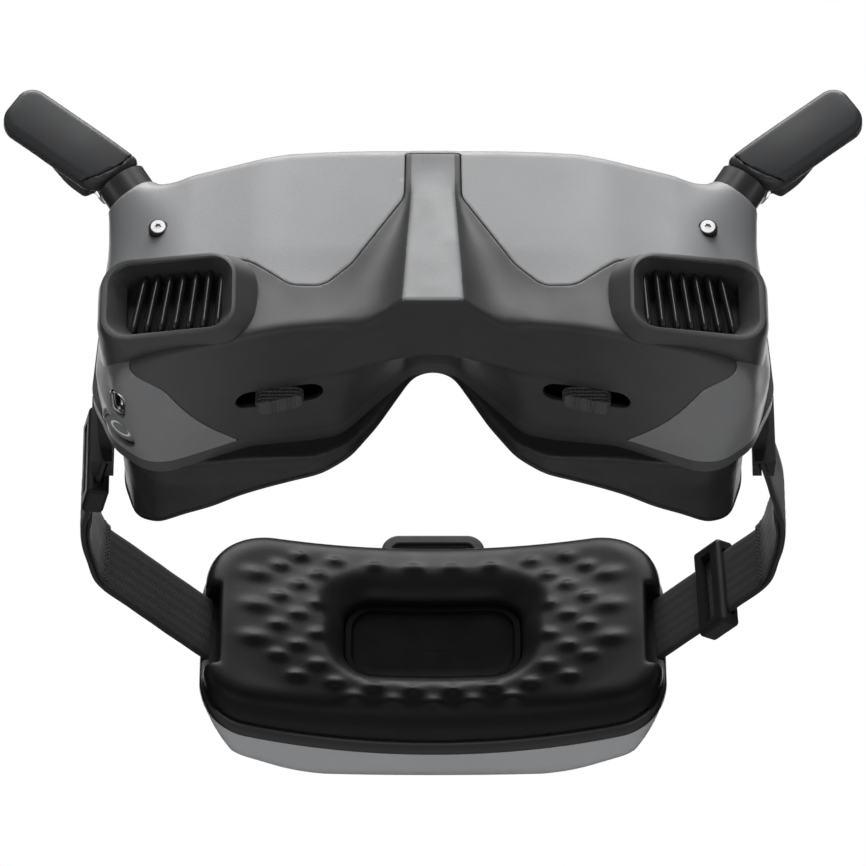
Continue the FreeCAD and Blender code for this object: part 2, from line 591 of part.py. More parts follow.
def antenna(side):
    flip = mirrored if side == "left" else (lambda shape: shape)
    a, n, w = axis_a(), axis_n(), axis_w()
    hinge = antenna_point(0, HINGE_N, HINGE_A)

    neck = cyl(NECK_R, ANTENNA_BASE, a, 6.0).fuse(cyl(SPIGOT_R, ANTENNA_BASE - a * 12, a, 13.0))
    tongue_wire = rounded_wire([(HINGE_N - 4, 2, 0), (HINGE_N + 4, 2, 0), (HINGE_N + 4, HINGE_A + 4, 3.9),
                                (HINGE_N - 4, HINGE_A + 4, 3.9)], lambda p, q: antenna_point(-2.5, p, q))
    sweep = cyl(4.7, antenna_point(-8, HINGE_N, HINGE_A), w, 16)
    neck = neck.cut(sweep.cut(box_wna(-2.6, 2.6, -20, 20, -20, 30)))
    neck = neck.fuse(Part.Face(tongue_wire).extrude(w * 5.0))
    neck = neck.cut(cyl(PIN_R + 0.05, hinge - w * 10, w, 20)).removeSplitter()
    save(f"antenna_neck_{side}", flip(biggest(neck, 50)))

    cover = paddle_slab(2.0, 4.6)
    front = antenna_point(0, 4.6, 0)
    cover = fillet_where(cover, 1.2, lambda e: all((v.Point - front).dot(n) > -0.01 for v in e.Vertexes))
    case = paddle_slab(-1.2, 2.0).cut(paddle_slab(0.4, 2.0, 1.4, 9.0))
    heel_wire = rounded_wire([(HINGE_N - 4.2, HINGE_A + 3, 0), (HINGE_N - 4.2, 17, 4), (-1.2, 24, 0),
                              (-1.2, HINGE_A + 3, 0)], lambda p, q: antenna_point(-6.6, p, q))
    heel = Part.Face(heel_wire).extrude(w * 13.0)
    heel = heel.common(paddle_slab(-20, 5, 0.3, 4.0))
    cheeks = cyl(4.2, antenna_point(-6.4, HINGE_N, HINGE_A), w, 12.6)
    link = box_wna(-6.4, 6.2, HINGE_N - 4.2, 0.5, HINGE_A, HINGE_A + 4.5)
    case = case.multiFuse([heel, cheeks, link])
    case = case.cut(box_wna(-2.8, 2.8, -20, 1.4, -5, HINGE_A + 4.6))
    case = case.cut(cyl(PIN_R, hinge - w * 10, w, 20)).removeSplitter()
    save(f"antenna_cover_{side}", flip(cover))
    save(f"antenna_case_{side}", flip(biggest(case, 50)))
    save(f"antenna_element_{side}", flip(paddle_slab(0.5, 1.3, 2.2, 12.0)))
    save(f"antenna_pin_{side}", flip(cyl(PIN_R, hinge - w * 6.0, w, 12.0)))


def box_wna(w0, w1, n0, n1, a0, a1):
    """A box along the antenna's own axes."""
    wire = Part.makePolygon([antenna_point(w0, n0, a0), antenna_point(w1, n0, a0), antenna_point(w1, n1, a0),
                             antenna_point(w0, n1, a0), antenna_point(w0, n0, a0)])
    return Part.Face(wire).extrude(axis_a() * (a1 - a0))


# ---------------------------------------------------------------- headband
STRAP_PATH = [              # the strap's middle line on the wearer's left, seen from above: x, y, bend radius
    (84.0, 6.0, 0), (92.4, 44.0, 60), (89.6, 70.0, 22), (61.0, 110.5, 0),
]


def strap_band(thickness, low, high, cut_start=0.0):
    """A band along the strap's path, from low to high above the strap's middle line."""
    left, right = [], []
    count = len(STRAP_PATH)
    for i, (x, y, r) in enumerate(STRAP_PATH):
        here = V(x, y, 0)
        before = here - V(*STRAP_PATH[i - 1][:2], 0) if i else None
        after = V(*STRAP_PATH[i + 1][:2], 0) - here if i < count - 1 else None
        d1 = V(before or after).normalize()
        d2 = V(after or before).normalize()
        n1, n2 = V(-d1.y, d1.x, 0), V(-d2.y, d2.x, 0)
        m = (n1 + n2).normalize()
        m = m * (thickness / 2 / m.dot(n1))
        start = here + d2 * cut_start if i == 0 else here
        turn_left = d1.cross(d2).z > 0
        inner, outer = max(r - thickness / 2, 0.1), r + thickness / 2
        left.append(((start + m).x, (start + m).y, 0 if not r else (inner if turn_left else outer)))
        right.append(((start - m).x, (start - m).y, 0 if not r else (outer if turn_left else inner)))
    band = prism_xy(left + right[::-1], -60, 30)
    edge = [(y, strap_z(y), 0 if y != STRAP_FALL[1][0] else 30) for y in (-5, STRAP_FALL[1][0], 140)]
    outline = [(y, z + low, r) for y, z, r in edge] + [(y, z + high, r) for y, z, r in reversed(edge)]
    return band.common(prism_yz(outline, 0, 120))


def strap_slope(y):
    (y0, z0), (y1, z1), (y2, z2) = STRAP_FALL
    return (z1 - z0) / (y1 - y0) if y < y1 else (z2 - z1) / (y2 - y1)


def strap_z(y):
    return STRAP_FALL[1][1] + strap_slope(y) * (y - STRAP_FALL[1][0])


def straps():
    strap = strap_band(STRAP_T, -STRAP_W / 2, STRAP_W / 2)
    save("strap_left", strap)
    lead = strap_band(0.8, -4, 4)
    save("strap_right", mirrored(strap.cut(lead)))
    save("power_lead", mirrored(lead))


def adjuster(side, leg, y):
    """A three-bar slide buckle round one straight leg of the strap, centred at the depth y."""
    s = -1 if side == "right" else 1
    (xa, ya), (xb, yb) = STRAP_PATH[leg][:2], STRAP_PATH[leg + 1][:2]
    x = s * (xa + (xb - xa) * (y - ya) / (yb - ya))
    d = V(s * (xb - xa), yb - ya, (yb - ya) * strap_slope(y)).normalize()
    across = V(0, 0, 1)
    normal = d.cross(across).normalize()
    up = normal.cross(d).normalize()
    centre = V(x, y, strap_z(y))

    def block(d0, d1, n0, n1, u0, u1):
        corners = [(d0, n0), (d1, n0), (d1, n1), (d0, n1), (d0, n0)]
        wire = Part.makePolygon([centre + d * p + normal * q + up * u0 for p, q in corners])
        return Part.Face(wire).extrude(up * (u1 - u0))
    half_w = STRAP_W / 2 + 3.4
    body = block(-5.5, 5.5, -2.9, 2.9, -half_w, half_w)
    body = fillet_where(body, 1.2, lambda e: True)
    slot = block(-9, 9, -STRAP_T / 2 - CLEAR, STRAP_T / 2 + CLEAR, -STRAP_W / 2 - 0.5, STRAP_W / 2 + 0.5)
    window = block(-2.0, 2.0, -6, 6, -STRAP_W / 2 - 0.5, STRAP_W / 2 + 0.5)
    save(f"strap_adjuster_{side}", body.cut(slot).cut(window))
    print("   adjuster", side, "slides along", [round(c, 5) for c in d])


def strap_ends():
    """The pivots on the rear frame and the clips that hang on them."""
    ears, clips = [], []
    for s in (1, -1):
        ear = box(79.4, 81.6, -18, PIVOT_Y + 5, PIVOT_Z - 6, PIVOT_Z + 6)
        ear = fillet_where(ear, 4.0, lambda e: along(V(1, 0, 0))(e) and e.BoundBox.YMin > PIVOT_Y)
        ear = ear.common(box(79, 90, FRAME_REAR, 10, -40, 10))
        pin = cyl(2.5, V(81.6, PIVOT_Y, PIVOT_Z), V(1, 0, 0), 3.4)
        piece = ear.fuse(pin).removeSplitter()
        clip = box(81.9, 84.9, PIVOT_Y - 5, 12, PIVOT_Z - 6, PIVOT_Z + 6)
        clip = fillet_where(clip, 4.0, lambda e: along(V(1, 0, 0))(e) and e.BoundBox.YMax < PIVOT_Y)
        clip = clip.fuse(box(81.9, 87.4, 4.0, 12, strap_z(6) - STRAP_W / 2, strap_z(6) + STRAP_W / 2))
        clip = clip.cut(cyl(2.55, V(70, PIVOT_Y, PIVOT_Z), V(1, 0, 0), 30))
        clip = clip.cut(strap_band(STRAP_T, -30, 30, -3.0).common(box(80, 95, 5.2, 30, -60, 30)))
        ears.append(piece if s == 1 else mirrored(piece))
        clips.append(clip if s == 1 else mirrored(clip))
    save("strap_pivots", group(*ears))
    save("strap_clips", group(*[biggest(c, 20) for c in clips]))


def pack_place(shape):
    """From the pack's own axes (front rim at y = 0, middle at the origin) to the row frame."""
    shape = shape.copy()
    shape.rotate(V(0, 0, 0), V(1, 0, 0), PACK_TILT)
    return shape.translated(PACK_AT)


def head_arc(offset):
    """Solid behind the head's curve, moved back by offset."""
    return box(-90, 90, -60, 80, -70, 70).cut(cyl(HEAD_R, V(0, offset - HEAD_R, -80), V(0, 0, 1), 160))


def pack_block(shrink):
    g = shrink
    front = prism_xz(rect(-PACK_HALF_W + g, PACK_HALF_W - g, -PACK_HALF_H + g, PACK_HALF_H - g, 20 - g), -40, 60)
    w = PACK_HALF_W - g
    h = PACK_HALF_H - g
    plan = prism_xy([(-w, -30, 0), (w, -30, 0), (w, -5 - g, 6), (w - 8, 8 - g, 14), (30, 22 - g, 40),
                     (0, 28 - g, 60), (-30, 22 - g, 40), (8 - w, 8 - g, 14), (-w, -5 - g, 6)], -60, 60)
    side = prism_yz([(-40, -h, 0), (-40, h, 0), (16, h, 5), (28 - g, h - 11, 9), (28 - g, 11 - h, 9), (18, -h, 5)],
                    -80, 80)
    return front.common(plan).common(side)


RIM_T = 5.0


def battery():
    outer, inner = pack_block(0), pack_block(2.0)
    shell = outer.common(head_arc(RIM_T)).cut(inner)
    rim = outer.common(head_arc(0)).cut(head_arc(RIM_T))
    pocket = inner.common(head_arc(2.0))
    rim = rim.cut(pocket)
    notch = box(-PACK_HALF_W - 5, -PACK_HALF_W + 3.4, -30, 5, -15, 12.5)
    rim = rim.cut(notch).cut(mirrored(notch))
    save("battery_shell", pack_place(shell))
    save("battery_rim", pack_place(biggest(rim, 200)))
    cells = []
    for s in (1, -1):
        cell = box(-24.0, 24.0, -4.2, 4.2, -21, 21)
        cell = fillet_where(cell, 1.5, lambda e: True)
        cell.rotate(V(0, 0, 0), V(0, 0, 1), -12 * s)
        cells.append(cell.translated(V(26.0 * s, 8.6, 0)))
    save("battery_cells", pack_place(group(*cells)))
    board = box(-18, 18, 19.2, 20.2, -12, 12)
    chips = [box(-10, -2, 20.2, 21.5, -5, 5), box(4, 9, 20.2, 21.2, -3, 3)]
    save("battery_board", pack_place(board.multiFuse(chips).removeSplitter()))
    loop = prism_xz(rect(-14.5, 14.5, 22, 44.4, 5), 5.5, 8.7)
    loop = loop.cut(prism_xz(rect(-11.2, 11.2, 33.4, 41.0, 2), 0, 15))
    loop = loop.cut(outer)
    loop = fillet_where(loop, 0.9, lambda e: e.BoundBox.ZMin > 40)
    save("crown_strap_loop", pack_place(biggest(loop, 20)))


PAD_HOLE = (-24.5, 24.5, -13.8, 11.2)


def head_pad():
    block = prism_xz(rect(-PACK_HALF_W + 1.2, PACK_HALF_W - 1.2, -PACK_HALF_H + 2.5, PACK_HALF_H, 20), -60, 60)
    pad = block.common(head_arc(-PAD_T)).cut(head_arc(0))
    hole = Part.makeLoft([rounded_wire(rect(-29, 29, -17.5, 16, 13), lambda p, q: V(p, -30, q)),
                          rounded_wire(rect(*PAD_HOLE, 9), lambda p, q: V(p, 1, q))], True, True)
    pad = pad.cut(hole)
    slot = box(-PACK_HALF_W - 5, -PACK_HALF_W + 4.4, -60, 5, -15.5, 13)
    pad = pad.cut(slot).cut(mirrored(slot))
    save("head_pad", pack_place(pad))


housing()
for name in ("right", "left"):
    vent_frame(name)
    vent_grille(name)
    eye(name)
    antenna(name)
front_screws()
rear_frame()
face_cushion()
electronics()
usb_and_buttons()
top_controls()
strap_ends()
straps()
adjuster("right", 0, 20.0)
adjuster("left", 2, 88.5)
battery()
head_pad()
A, N, W = axis_a(), axis_n(), axis_w()
print("hinge right at", antenna_point(0, HINGE_N, HINGE_A), "axis W", W)
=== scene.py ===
"""Looks of the drone goggles: shells, soft goods, straps, antennas, materials, light and camera.

Shapes are worked out in millimetres and turned into metres when a mesh is made.
Names ending in _right are on the wearer's right, -X. The wearer looks towards -Y.
"""
import bpy
import math
import numpy as np
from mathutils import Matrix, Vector


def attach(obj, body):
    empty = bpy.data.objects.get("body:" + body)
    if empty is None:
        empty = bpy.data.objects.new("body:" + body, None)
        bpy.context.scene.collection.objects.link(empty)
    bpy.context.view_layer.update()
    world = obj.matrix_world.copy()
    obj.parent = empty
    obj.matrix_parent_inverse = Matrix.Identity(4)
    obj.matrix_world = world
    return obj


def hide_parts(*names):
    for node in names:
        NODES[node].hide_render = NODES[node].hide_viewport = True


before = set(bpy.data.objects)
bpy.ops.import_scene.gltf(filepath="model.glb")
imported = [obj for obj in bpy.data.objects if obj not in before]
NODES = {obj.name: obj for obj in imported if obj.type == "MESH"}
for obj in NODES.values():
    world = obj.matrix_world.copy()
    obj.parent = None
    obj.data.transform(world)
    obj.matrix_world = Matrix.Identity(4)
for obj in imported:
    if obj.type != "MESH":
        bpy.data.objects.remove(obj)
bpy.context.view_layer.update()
MM = 0.001
SIDES = {"left": 1, "right": -1}

# ---------------------------------------------------------------- dimensions, mm
GAP = 0.13                 # half a seam's width
SKIN = 1.6                 # thickness of the moulded skins
SHELL_REAR = -18.0
FRONT_Y, FRONT_Z, FRONT_RAKE = -61.0, -14.0, 0.24
BODY_TOP = 36.5
NOSE_Y = -70.0
FRAME_REAR = -13.0
ANTENNA_BASE = np.array([-75.6, -35.2, 31.8])
ANTENNA_AXIS = np.array([-0.55, -0.15, 0.82])
CORNER_N = np.array([-0.55495, 0.0, -0.83189])
BUTTON_AT = np.array([-77.5, -25.0, -27.7])
USB_AT = np.array([-77.5, -38.0, -27.7])
KNOB_X, KNOB_Y = 38.0, -37.0
JOY_AT = np.array([-44.0, -33.0, 35.5])
BACK_AT = np.array([-30.0, -33.0, 36.5])
PACK_AT = np.array([0, 124.0, -19.8])
PACK_TILT = math.radians(-8)
HEAD_R = 144.0
PACK_HALF_W, PACK_HALF_H = 63.3, 29.3
TOP_R, LOW_R = 20, 12      # corner radii of the pack, seen from behind
PAD_T = 13.0
STRAP_T, STRAP_W = 2.0, 19.0
HINGE_N, HINGE_A = -4.0, 8.0
PADDLE_LEAN, PADDLE_LENGTH = math.radians(21.5), 33.0

OUTLINE_HALF = [
    (0, -5.8, 0), (5.5, -6.4, 8), (23, -23.7, 10), (31, -25.2, 12), (46, -26.8, 20), (70, -35.5, 12), (80, -28, 12),
    (86, -15, 12), (84.5, 5, 20), (80, 27, 9), (60, 33.5, 30), (36, BODY_TOP, 30),
]
PLAN_HALF = [
    (0, FRONT_Y, 0), (42, FRONT_Y, 40), (66, -56, 30), (80, -46, 16), (86, -30, 12), (86, 25, 0),
]
MASK_HALF = [
    (0, BODY_TOP - 1.2, 0), (6.9, BODY_TOP - 1.2, 1), (7.1, 21, 6), (20, 0, 12), (27, -6.8, 6), (35, -6.5, 6),
    (46, 2.2, 8), (60, 3.4, 10), (76, 3.2, 6), (81, -3, 4), (81, -60, 0), (0, -60, 0),
]
CORNER_HALF = [
    (95, -57.5, 0), (81, -57.5, 0), (66, -46.5, 8), (62, -40, 6), (43.6, -10, 0), (95, -10, 0),
]
CUSHION_HALF = [
    (0, -4.5, 0), (4.5, -5.5, 5), (14, -19.8, 30), (20.8, -27.6, 8), (28, -31.1, 10), (50, -32.2, 20),
    (69, -34.4, 10), (77, -28, 10), (80, -14, 12), (80, 6, 20), (76, 25, 10), (56, 32, 25), (34, 34.5, 25),
]
CUSHION_HOLE_HALF = [
    (0, 1.5, 0), (5, 1.2, 5), (20, -19, 10), (40, -22.5, 14), (58, -22, 12), (67, -10, 10), (67, 10, 12),
    (58, 21, 12), (30, 23, 20),
]
FACE_R, FACE_FRONT = 96.0, -6.0
STRAP_PATH = [(84.0, 6.0, 0), (92.4, 44.0, 60), (89.6, 70.0, 22), (61.0, 110.5, 0)]
STRAP_FALL = [(0.0, -12.5), (75.0, -15.9), (112.0, -19.2)]


# ---------------------------------------------------------------- outlines and distances
def unit(v):
    v = np.asarray(v, float)
    return v / np.linalg.norm(v)


def round_path(points, step=0.5, closed=True):
    """Points along straight runs joined by arcs of the radii given as third values."""
    out = []
    count = len(points)
    for i, (a, b, radius) in enumerate(points):
        here = np.array([a, b], float)
        if not radius or (not closed and i in (0, count - 1)):
            out.append(here)
            continue
        u = np.array(points[i - 1][:2]) - here
        w = np.array(points[(i + 1) % count][:2]) - here
        room = 0.49 * min(np.linalg.norm(u), np.linalg.norm(w))
        u, w = unit(u), unit(w)
        turn = math.pi - math.acos(np.clip(u @ w, -1, 1))
        tangent = min(radius * math.tan(turn / 2), room)
        real = tangent / math.tan(turn / 2)
        centre = here + unit(u + w) * real / math.cos(turn / 2)
        start, end = here + u * tangent - centre, here + w * tangent - centre
        steps = max(2, int(real * turn / step))
        for k in range(steps + 1):
            t = k / steps
            out.append(centre + unit(start * (1 - t) + end * t) * real)
    return np.array(out)


def both_sides(half):
    return half + [(-a, b, r) for a, b, r in reversed(half) if abs(a) > 1e-9]


def outline_distance(points, a, b):
    """Signed distance from (a, b) to a closed outline, below 0 inside."""
    best = np.full(a.shape, 1e9)
    inside = np.zeros(a.shape, bool)
    for (x0, y0), (x1, y1) in zip(points, np.roll(points, -1, axis=0)):
        dx, dy = x1 - x0, y1 - y0
        length = dx * dx + dy * dy
        if length < 1e-12:
            continue
        t = np.clip(((a - x0) * dx + (b - y0) * dy) / length, 0, 1)
        best = np.minimum(best, (a - x0 - t * dx) ** 2 + (b - y0 - t * dy) ** 2)
        if abs(dy) > 1e-12:
            inside ^= ((y0 > b) != (y1 > b)) & (a < dx * (b - y0) / dy + x0)
    return np.where(inside, -1, 1) * np.sqrt(best)


class Outline:
    """A symmetric outline's distance, looked up in a table."""

    def __init__(self, half, low, high, step=0.4, mirror=True):
        self.step, self.low = step, np.array(low, float)
        axes = [np.arange(l, h + step, step) for l, h in zip(low, high)]
        a, b = np.meshgrid(*axes, indexing="ij")
        self.table = outline_distance(round_path(both_sides(half) if mirror else half), a, b)

    def __call__(self, a, b):
        i = np.clip((np.abs(a) - self.low[0]) / self.step, 0, self.table.shape[0] - 1.001)
        j = np.clip((b - self.low[1]) / self.step, 0, self.table.shape[1] - 1.001)
        i0, j0 = i.astype(int), j.astype(int)
        u, v = i - i0, j - j0
        t = self.table
        return ((t[i0, j0] * (1 - u) + t[i0 + 1, j0] * u) * (1 - v)
                + (t[i0, j0 + 1] * (1 - u) + t[i0 + 1, j0 + 1] * u) * v)


def smax(a, b, k):
    """The larger of two distances, rounded where they meet."""
    return np.maximum(a, b) + np.maximum(k - np.abs(a - b), 0) ** 2 / (4 * k)


def smin(a, b, k):
    return -smax(-a, -b, k)


def smoothstep(t):
    t = np.clip(t, 0, 1)
    return t * t * (3 - 2 * t)


def rounded_rect(a, b, x0, x1, z0, z1, r):
    """Signed distance to a rectangle with rounded corners."""
    da = np.abs(a - (x0 + x1) / 2) - (x1 - x0) / 2 + r
    db = np.abs(b - (z0 + z1) / 2) - (z1 - z0) / 2 + r
    return np.hypot(np.maximum(da, 0), np.maximum(db, 0)) + np.minimum(np.maximum(da, db), 0) - r


# ---------------------------------------------------------------- meshes from distances
def gradient(field, p, h=0.15):
    g = np.empty_like(p)
    for axis in range(3):
        d = np.zeros(3)
        d[axis] = h
        g[:, axis] = (field(*(p + d).T) - field(*(p - d).T)) / (2 * h)
    return g


def normals_of(field, p):
    g = gradient(field, p)
    return g / np.maximum(np.linalg.norm(g, axis=1, keepdims=True), 1e-9)


def surface(field, low, high, step, settle=3):
    """The surface where field is 0: points and quads, by surface nets, then moved onto the surface."""
    axes = [l + step * np.arange(int(round((h - l) / step)) + 1) for l, h in zip(low, high)]
    f = field(*np.meshgrid(*axes, indexing="ij"))
    inside = f < 0
    nx, ny, nz = (s - 1 for s in f.shape)
    corners = [(i, j, k) for i in (0, 1) for j in (0, 1) for k in (0, 1)]

    def at(values, c):
        return values[c[0]:c[0] + nx, c[1]:c[1] + ny, c[2]:c[2] + nz]
    count = sum(at(inside, c).astype(np.int8) for c in corners)
    active = (count > 0) & (count < 8)
    index = np.full(active.shape, -1)
    index[active] = np.arange(active.sum())
    total, crossings = np.zeros((active.sum(), 3)), np.zeros(active.sum())
    for c in corners:
        for axis in range(3):
            if c[axis]:
                continue
            other = tuple(1 if k == axis else c[k] for k in range(3))
            f0, f1 = at(f, c)[active], at(f, other)[active]
            cross = (f0 < 0) != (f1 < 0)
            t = np.where(cross, f0 / np.where(cross, f0 - f1, 1), 0)
            p = np.repeat(np.array([c], float), len(t), axis=0)
            p[:, axis] = t
            total += p * cross[:, None]
            crossings += cross
    points = np.array(low) + step * (np.argwhere(active) + total / crossings[:, None])
    quads = []
    for axis in range(3):
        u, v = (axis + 1) % 3, (axis + 2) % 3
        a = [slice(None)] * 3
        b = [slice(None)] * 3
        a[axis], b[axis] = slice(0, -1), slice(1, None)
        for side in (u, v):
            a[side] = b[side] = slice(1, -1)
        first, second = inside[tuple(a)], inside[tuple(b)]

        def cells(du, dv):
            s = [slice(None)] * 3
            s[u] = slice(1 - du, None if not du else -du)
            s[v] = slice(1 - dv, None if not dv else -dv)
            return index[tuple(s)]
        ring = np.stack([cells(1, 1), cells(0, 1), cells(0, 0), cells(1, 0)], axis=-1)
        quads.append(ring[first & ~second])
        quads.append(ring[~first & second][:, ::-1])
    quads = np.concatenate(quads)
    for k in range(settle):
        if k < 2:
            points = relaxed(points, quads)
        g = gradient(field, points)
        move = field(*points.T)[:, None] * g / np.maximum((g * g).sum(1, keepdims=True), 0.05)
        points -= np.clip(move, -step, step)
    return points, quads


def relaxed(points, faces):
    """Points moved halfway to the mean of their neighbours."""
    total = np.zeros_like(points)
    count = np.zeros(len(points))
    for a, b in zip(faces.T, np.roll(faces, -1, axis=1).T):
        np.add.at(total, a, points[b])
        np.add.at(count, a, 1)
    mean = total / np.maximum(count, 1)[:, None]
    return np.where(count[:, None] > 2, (points + mean) / 2, points)


def triangles(quads):
    return np.concatenate([quads[:, [0, 1, 2]], quads[:, [0, 2, 3]]])


def split(points, tris, field, level):
    """Adds points along the line where field is at level, so that each triangle is on one side of it."""
    value = field(*points.T) - level
    positive = value > 0
    flags = positive[tris]
    mixed = (flags.sum(1) % 3) != 0
    keep, cut, flags = tris[~mixed], tris[mixed], flags[mixed]
    if not len(cut):
        return points, tris
    alone = np.where(flags.sum(1) == 1, flags.argmax(1), (~flags).argmax(1))
    rows = np.arange(len(cut))
    a, b, c = cut[rows, alone], cut[rows, (alone + 1) % 3], cut[rows, (alone + 2) % 3]
    edges = np.sort(np.concatenate([np.stack([a, b], 1), np.stack([a, c], 1)]), axis=1)
    unique, where = np.unique(edges, axis=0, return_inverse=True)
    where = where.reshape(-1)
    v0, v1 = value[unique[:, 0]], value[unique[:, 1]]
    t = np.clip(v0 / (v0 - v1), 0.02, 0.98)[:, None]
    fresh = points[unique[:, 0]] * (1 - t) + points[unique[:, 1]] * t
    ab, ac = where[:len(cut)] + len(points), where[len(cut):] + len(points)
    new = np.concatenate([np.stack([a, ab, ac], 1), np.stack([ab, b, c], 1), np.stack([ab, c, ac], 1)])
    return np.concatenate([points, fresh]), np.concatenate([keep, new])


def skin_piece(name, mesh, surface_field, region, look, body, roll=0.3, skin=SKIN):
    """The part of a surface where region is below -GAP, with rolled edges and a real thickness."""
    points, tris = mesh
    for level in (-GAP - roll, -GAP):
        points, tris = split(points, tris, region, level)
    middle = points[tris].mean(axis=1)
    tris = tris[region(*middle.T) < -GAP]
    used, tris = np.unique(tris, return_inverse=True)
    tris = tris.reshape(-1, 3)
    points = points[used]
    normal = normals_of(surface_field, points)
    edge = np.clip((region(*points.T) + GAP + roll) / roll, 0, 1)
    edge[region(*points.T) < -GAP - roll - 0.02] = 0
    outer = points - normal * (0.04 + 0.2 * edge[:, None] ** 2) * (edge[:, None] >= 0)
    inner = points - normal * skin
    edges = np.concatenate([tris[:, [0, 1]], tris[:, [1, 2]], tris[:, [2, 0]]])
    code = edges[:, 0].astype(np.int64) * len(points) + edges[:, 1]
    back = edges[:, 1].astype(np.int64) * len(points) + edges[:, 0]
    rim = edges[~np.isin(code, back)]
    n = len(points)
    walls = np.stack([rim[:, 1], rim[:, 0], rim[:, 0] + n, rim[:, 1] + n], axis=1)
    faces = tris.tolist() + (tris[:, ::-1] + n).tolist() + walls.tolist()
    obj = piece(name, np.concatenate([outer, inner]), faces, look, body)
    mark_sharp(obj, rim)
    return obj


def mark_sharp(obj, edges):
    wanted = {tuple(sorted(e)) for e in edges.tolist()}
    for e in obj.data.edges:
        if tuple(sorted(e.vertices)) in wanted:
            e.use_edge_sharp = True


def piece(name, points, faces, look, body, replaced=()):
    """One visible piece from points in millimetres."""
    mesh = bpy.data.meshes.new(name)
    mesh.from_pydata((np.asarray(points, float) * MM).tolist(), [], [list(f) for f in faces])
    mesh.update()
    mesh.polygons.foreach_set("use_smooth", [True] * len(mesh.polygons))
    obj = bpy.data.objects.new(name, mesh)
    bpy.context.scene.collection.objects.link(obj)
    mesh.materials.append(look)
    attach(obj, body)
    if replaced:
        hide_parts(*replaced)
    return obj


def loft(rings, close_start=True, close_end=True):
    """Points and faces of a skin through closed rings with the same number of points."""
    count = len(rings[0])
    points = np.concatenate(rings)
    faces = []
    for r in range(len(rings) - 1):
        for i in range(count):
            j = (i + 1) % count
            faces.append([r * count + i, r * count + j, (r + 1) * count + j, (r + 1) * count + i])
    if close_start:
        faces.append(list(range(count))[::-1])
    if close_end:
        faces.append([(len(rings) - 1) * count + i for i in range(count)])
    return points, faces


def sharp_by_angle(obj, degrees=35):
    mesh = obj.data
    mesh.set_sharp_from_angle(angle=math.radians(degrees))


# ---------------------------------------------------------------- materials
def material(name, color, rough, grain=1600, depth=0.00004, strength=0.35, tone=0.12, metallic=0.0, wear=0.0,
             coat=0.0, sheen=0.0, specular=0.5, pattern=None, painted_middle_shade=None):
    """A moulded or woven surface: fine grain in the bump, slow changes of tone and gloss, worn edges.

    The last argument is two distances from the middle plane, in metres, and how much paler the surface is beyond the
    second: painted shade that keeps the middle darker, where the dish under the lenses is shaded.
    """
    mat = bpy.data.materials.new(name)
    mat.use_nodes = True
    nodes, links = mat.node_tree.nodes, mat.node_tree.links
    shader = nodes["Principled BSDF"]
    shader.inputs["Metallic"].default_value = metallic
    shader.inputs["Coat Weight"].default_value = coat
    shader.inputs["Coat Roughness"].default_value = 0.12
    shader.inputs["Sheen Weight"].default_value = sheen
    shader.inputs["Sheen Roughness"].default_value = 0.45
    shader.inputs["Specular IOR Level"].default_value = specular
    place = nodes.new("ShaderNodeTexCoord").outputs["Object"]

    def noise(scale, detail=3.0, roughness=0.55):
        n = nodes.new("ShaderNodeTexNoise")
        n.inputs["Scale"].default_value = scale
        n.inputs["Detail"].default_value = detail
        n.inputs["Roughness"].default_value = roughness
        links.new(place, n.inputs["Vector"])
        return n.outputs["Fac"]

    def ramp(source, low, high, at=(0.3, 0.7)):
        r = nodes.new("ShaderNodeValToRGB")
        r.color_ramp.elements[0].position, r.color_ramp.elements[1].position = at
        r.color_ramp.elements[0].color, r.color_ramp.elements[1].color = low, high
        links.new(source, r.inputs["Fac"])
        return r.outputs["Color"]

    def shade(factor):
        return tuple(min(1.0, c * factor) for c in color) + (1.0,)

    def blend(factor, a, b):
        mix = nodes.new("ShaderNodeMix")
        mix.data_type = "RGBA"
        for value, socket in ((factor, "Factor"), (a, "A"), (b, "B")):
            if isinstance(value, (float, tuple)):
                mix.inputs[socket].default_value = value
            else:
                links.new(value, mix.inputs[socket])
        return mix.outputs["Result"]
    body = ramp(noise(38, 4), shade(1 - tone), shade(1 + tone))
    speck = ramp(noise(grain, 2), shade(1 - tone * 1.3), shade(1 + tone * 1.3))
    result = blend(0.5, body, speck)
    if wear:
        edge = ramp(nodes.new("ShaderNodeNewGeometry").outputs["Pointiness"], (0, 0, 0, 1), (wear, wear, wear, 1),
                    (0.52, 0.62))
        result = blend(edge, result, tuple(min(1.0, c * 2.2 + 0.05) for c in color) + (1.0,))
    # painted shade: darker near the middle plane and paler beyond the far distance, standing in for the shade of the
    # dish under the lenses
    if painted_middle_shade:
        near, far, factor = painted_middle_shade
        parts = nodes.new("ShaderNodeSeparateXYZ")
        links.new(place, parts.inputs["Vector"])
        away = nodes.new("ShaderNodeMath")
        away.operation = "ABSOLUTE"
        links.new(parts.outputs["X"], away.inputs[0])
        result = blend(ramp(away.outputs["Value"], (0, 0, 0, 1), (1, 1, 1, 1), (near, far)), result, shade(factor))
    links.new(result, shader.inputs["Base Color"])
    gloss = ramp(noise(120, 3), (rough * 0.88,) * 3 + (1,), (min(1, rough * 1.12),) * 3 + (1,))
    links.new(gloss, shader.inputs["Roughness"])
    height = noise(grain, 2, 0.6)
    if pattern:
        height = pattern(nodes, links, place, height)
    bump = nodes.new("ShaderNodeBump")
    bump.inputs["Strength"].default_value = strength
    bump.inputs["Distance"].default_value = depth
    links.new(height, bump.inputs["Height"])
    links.new(bump.outputs["Normal"], shader.inputs["Normal"])
    return mat


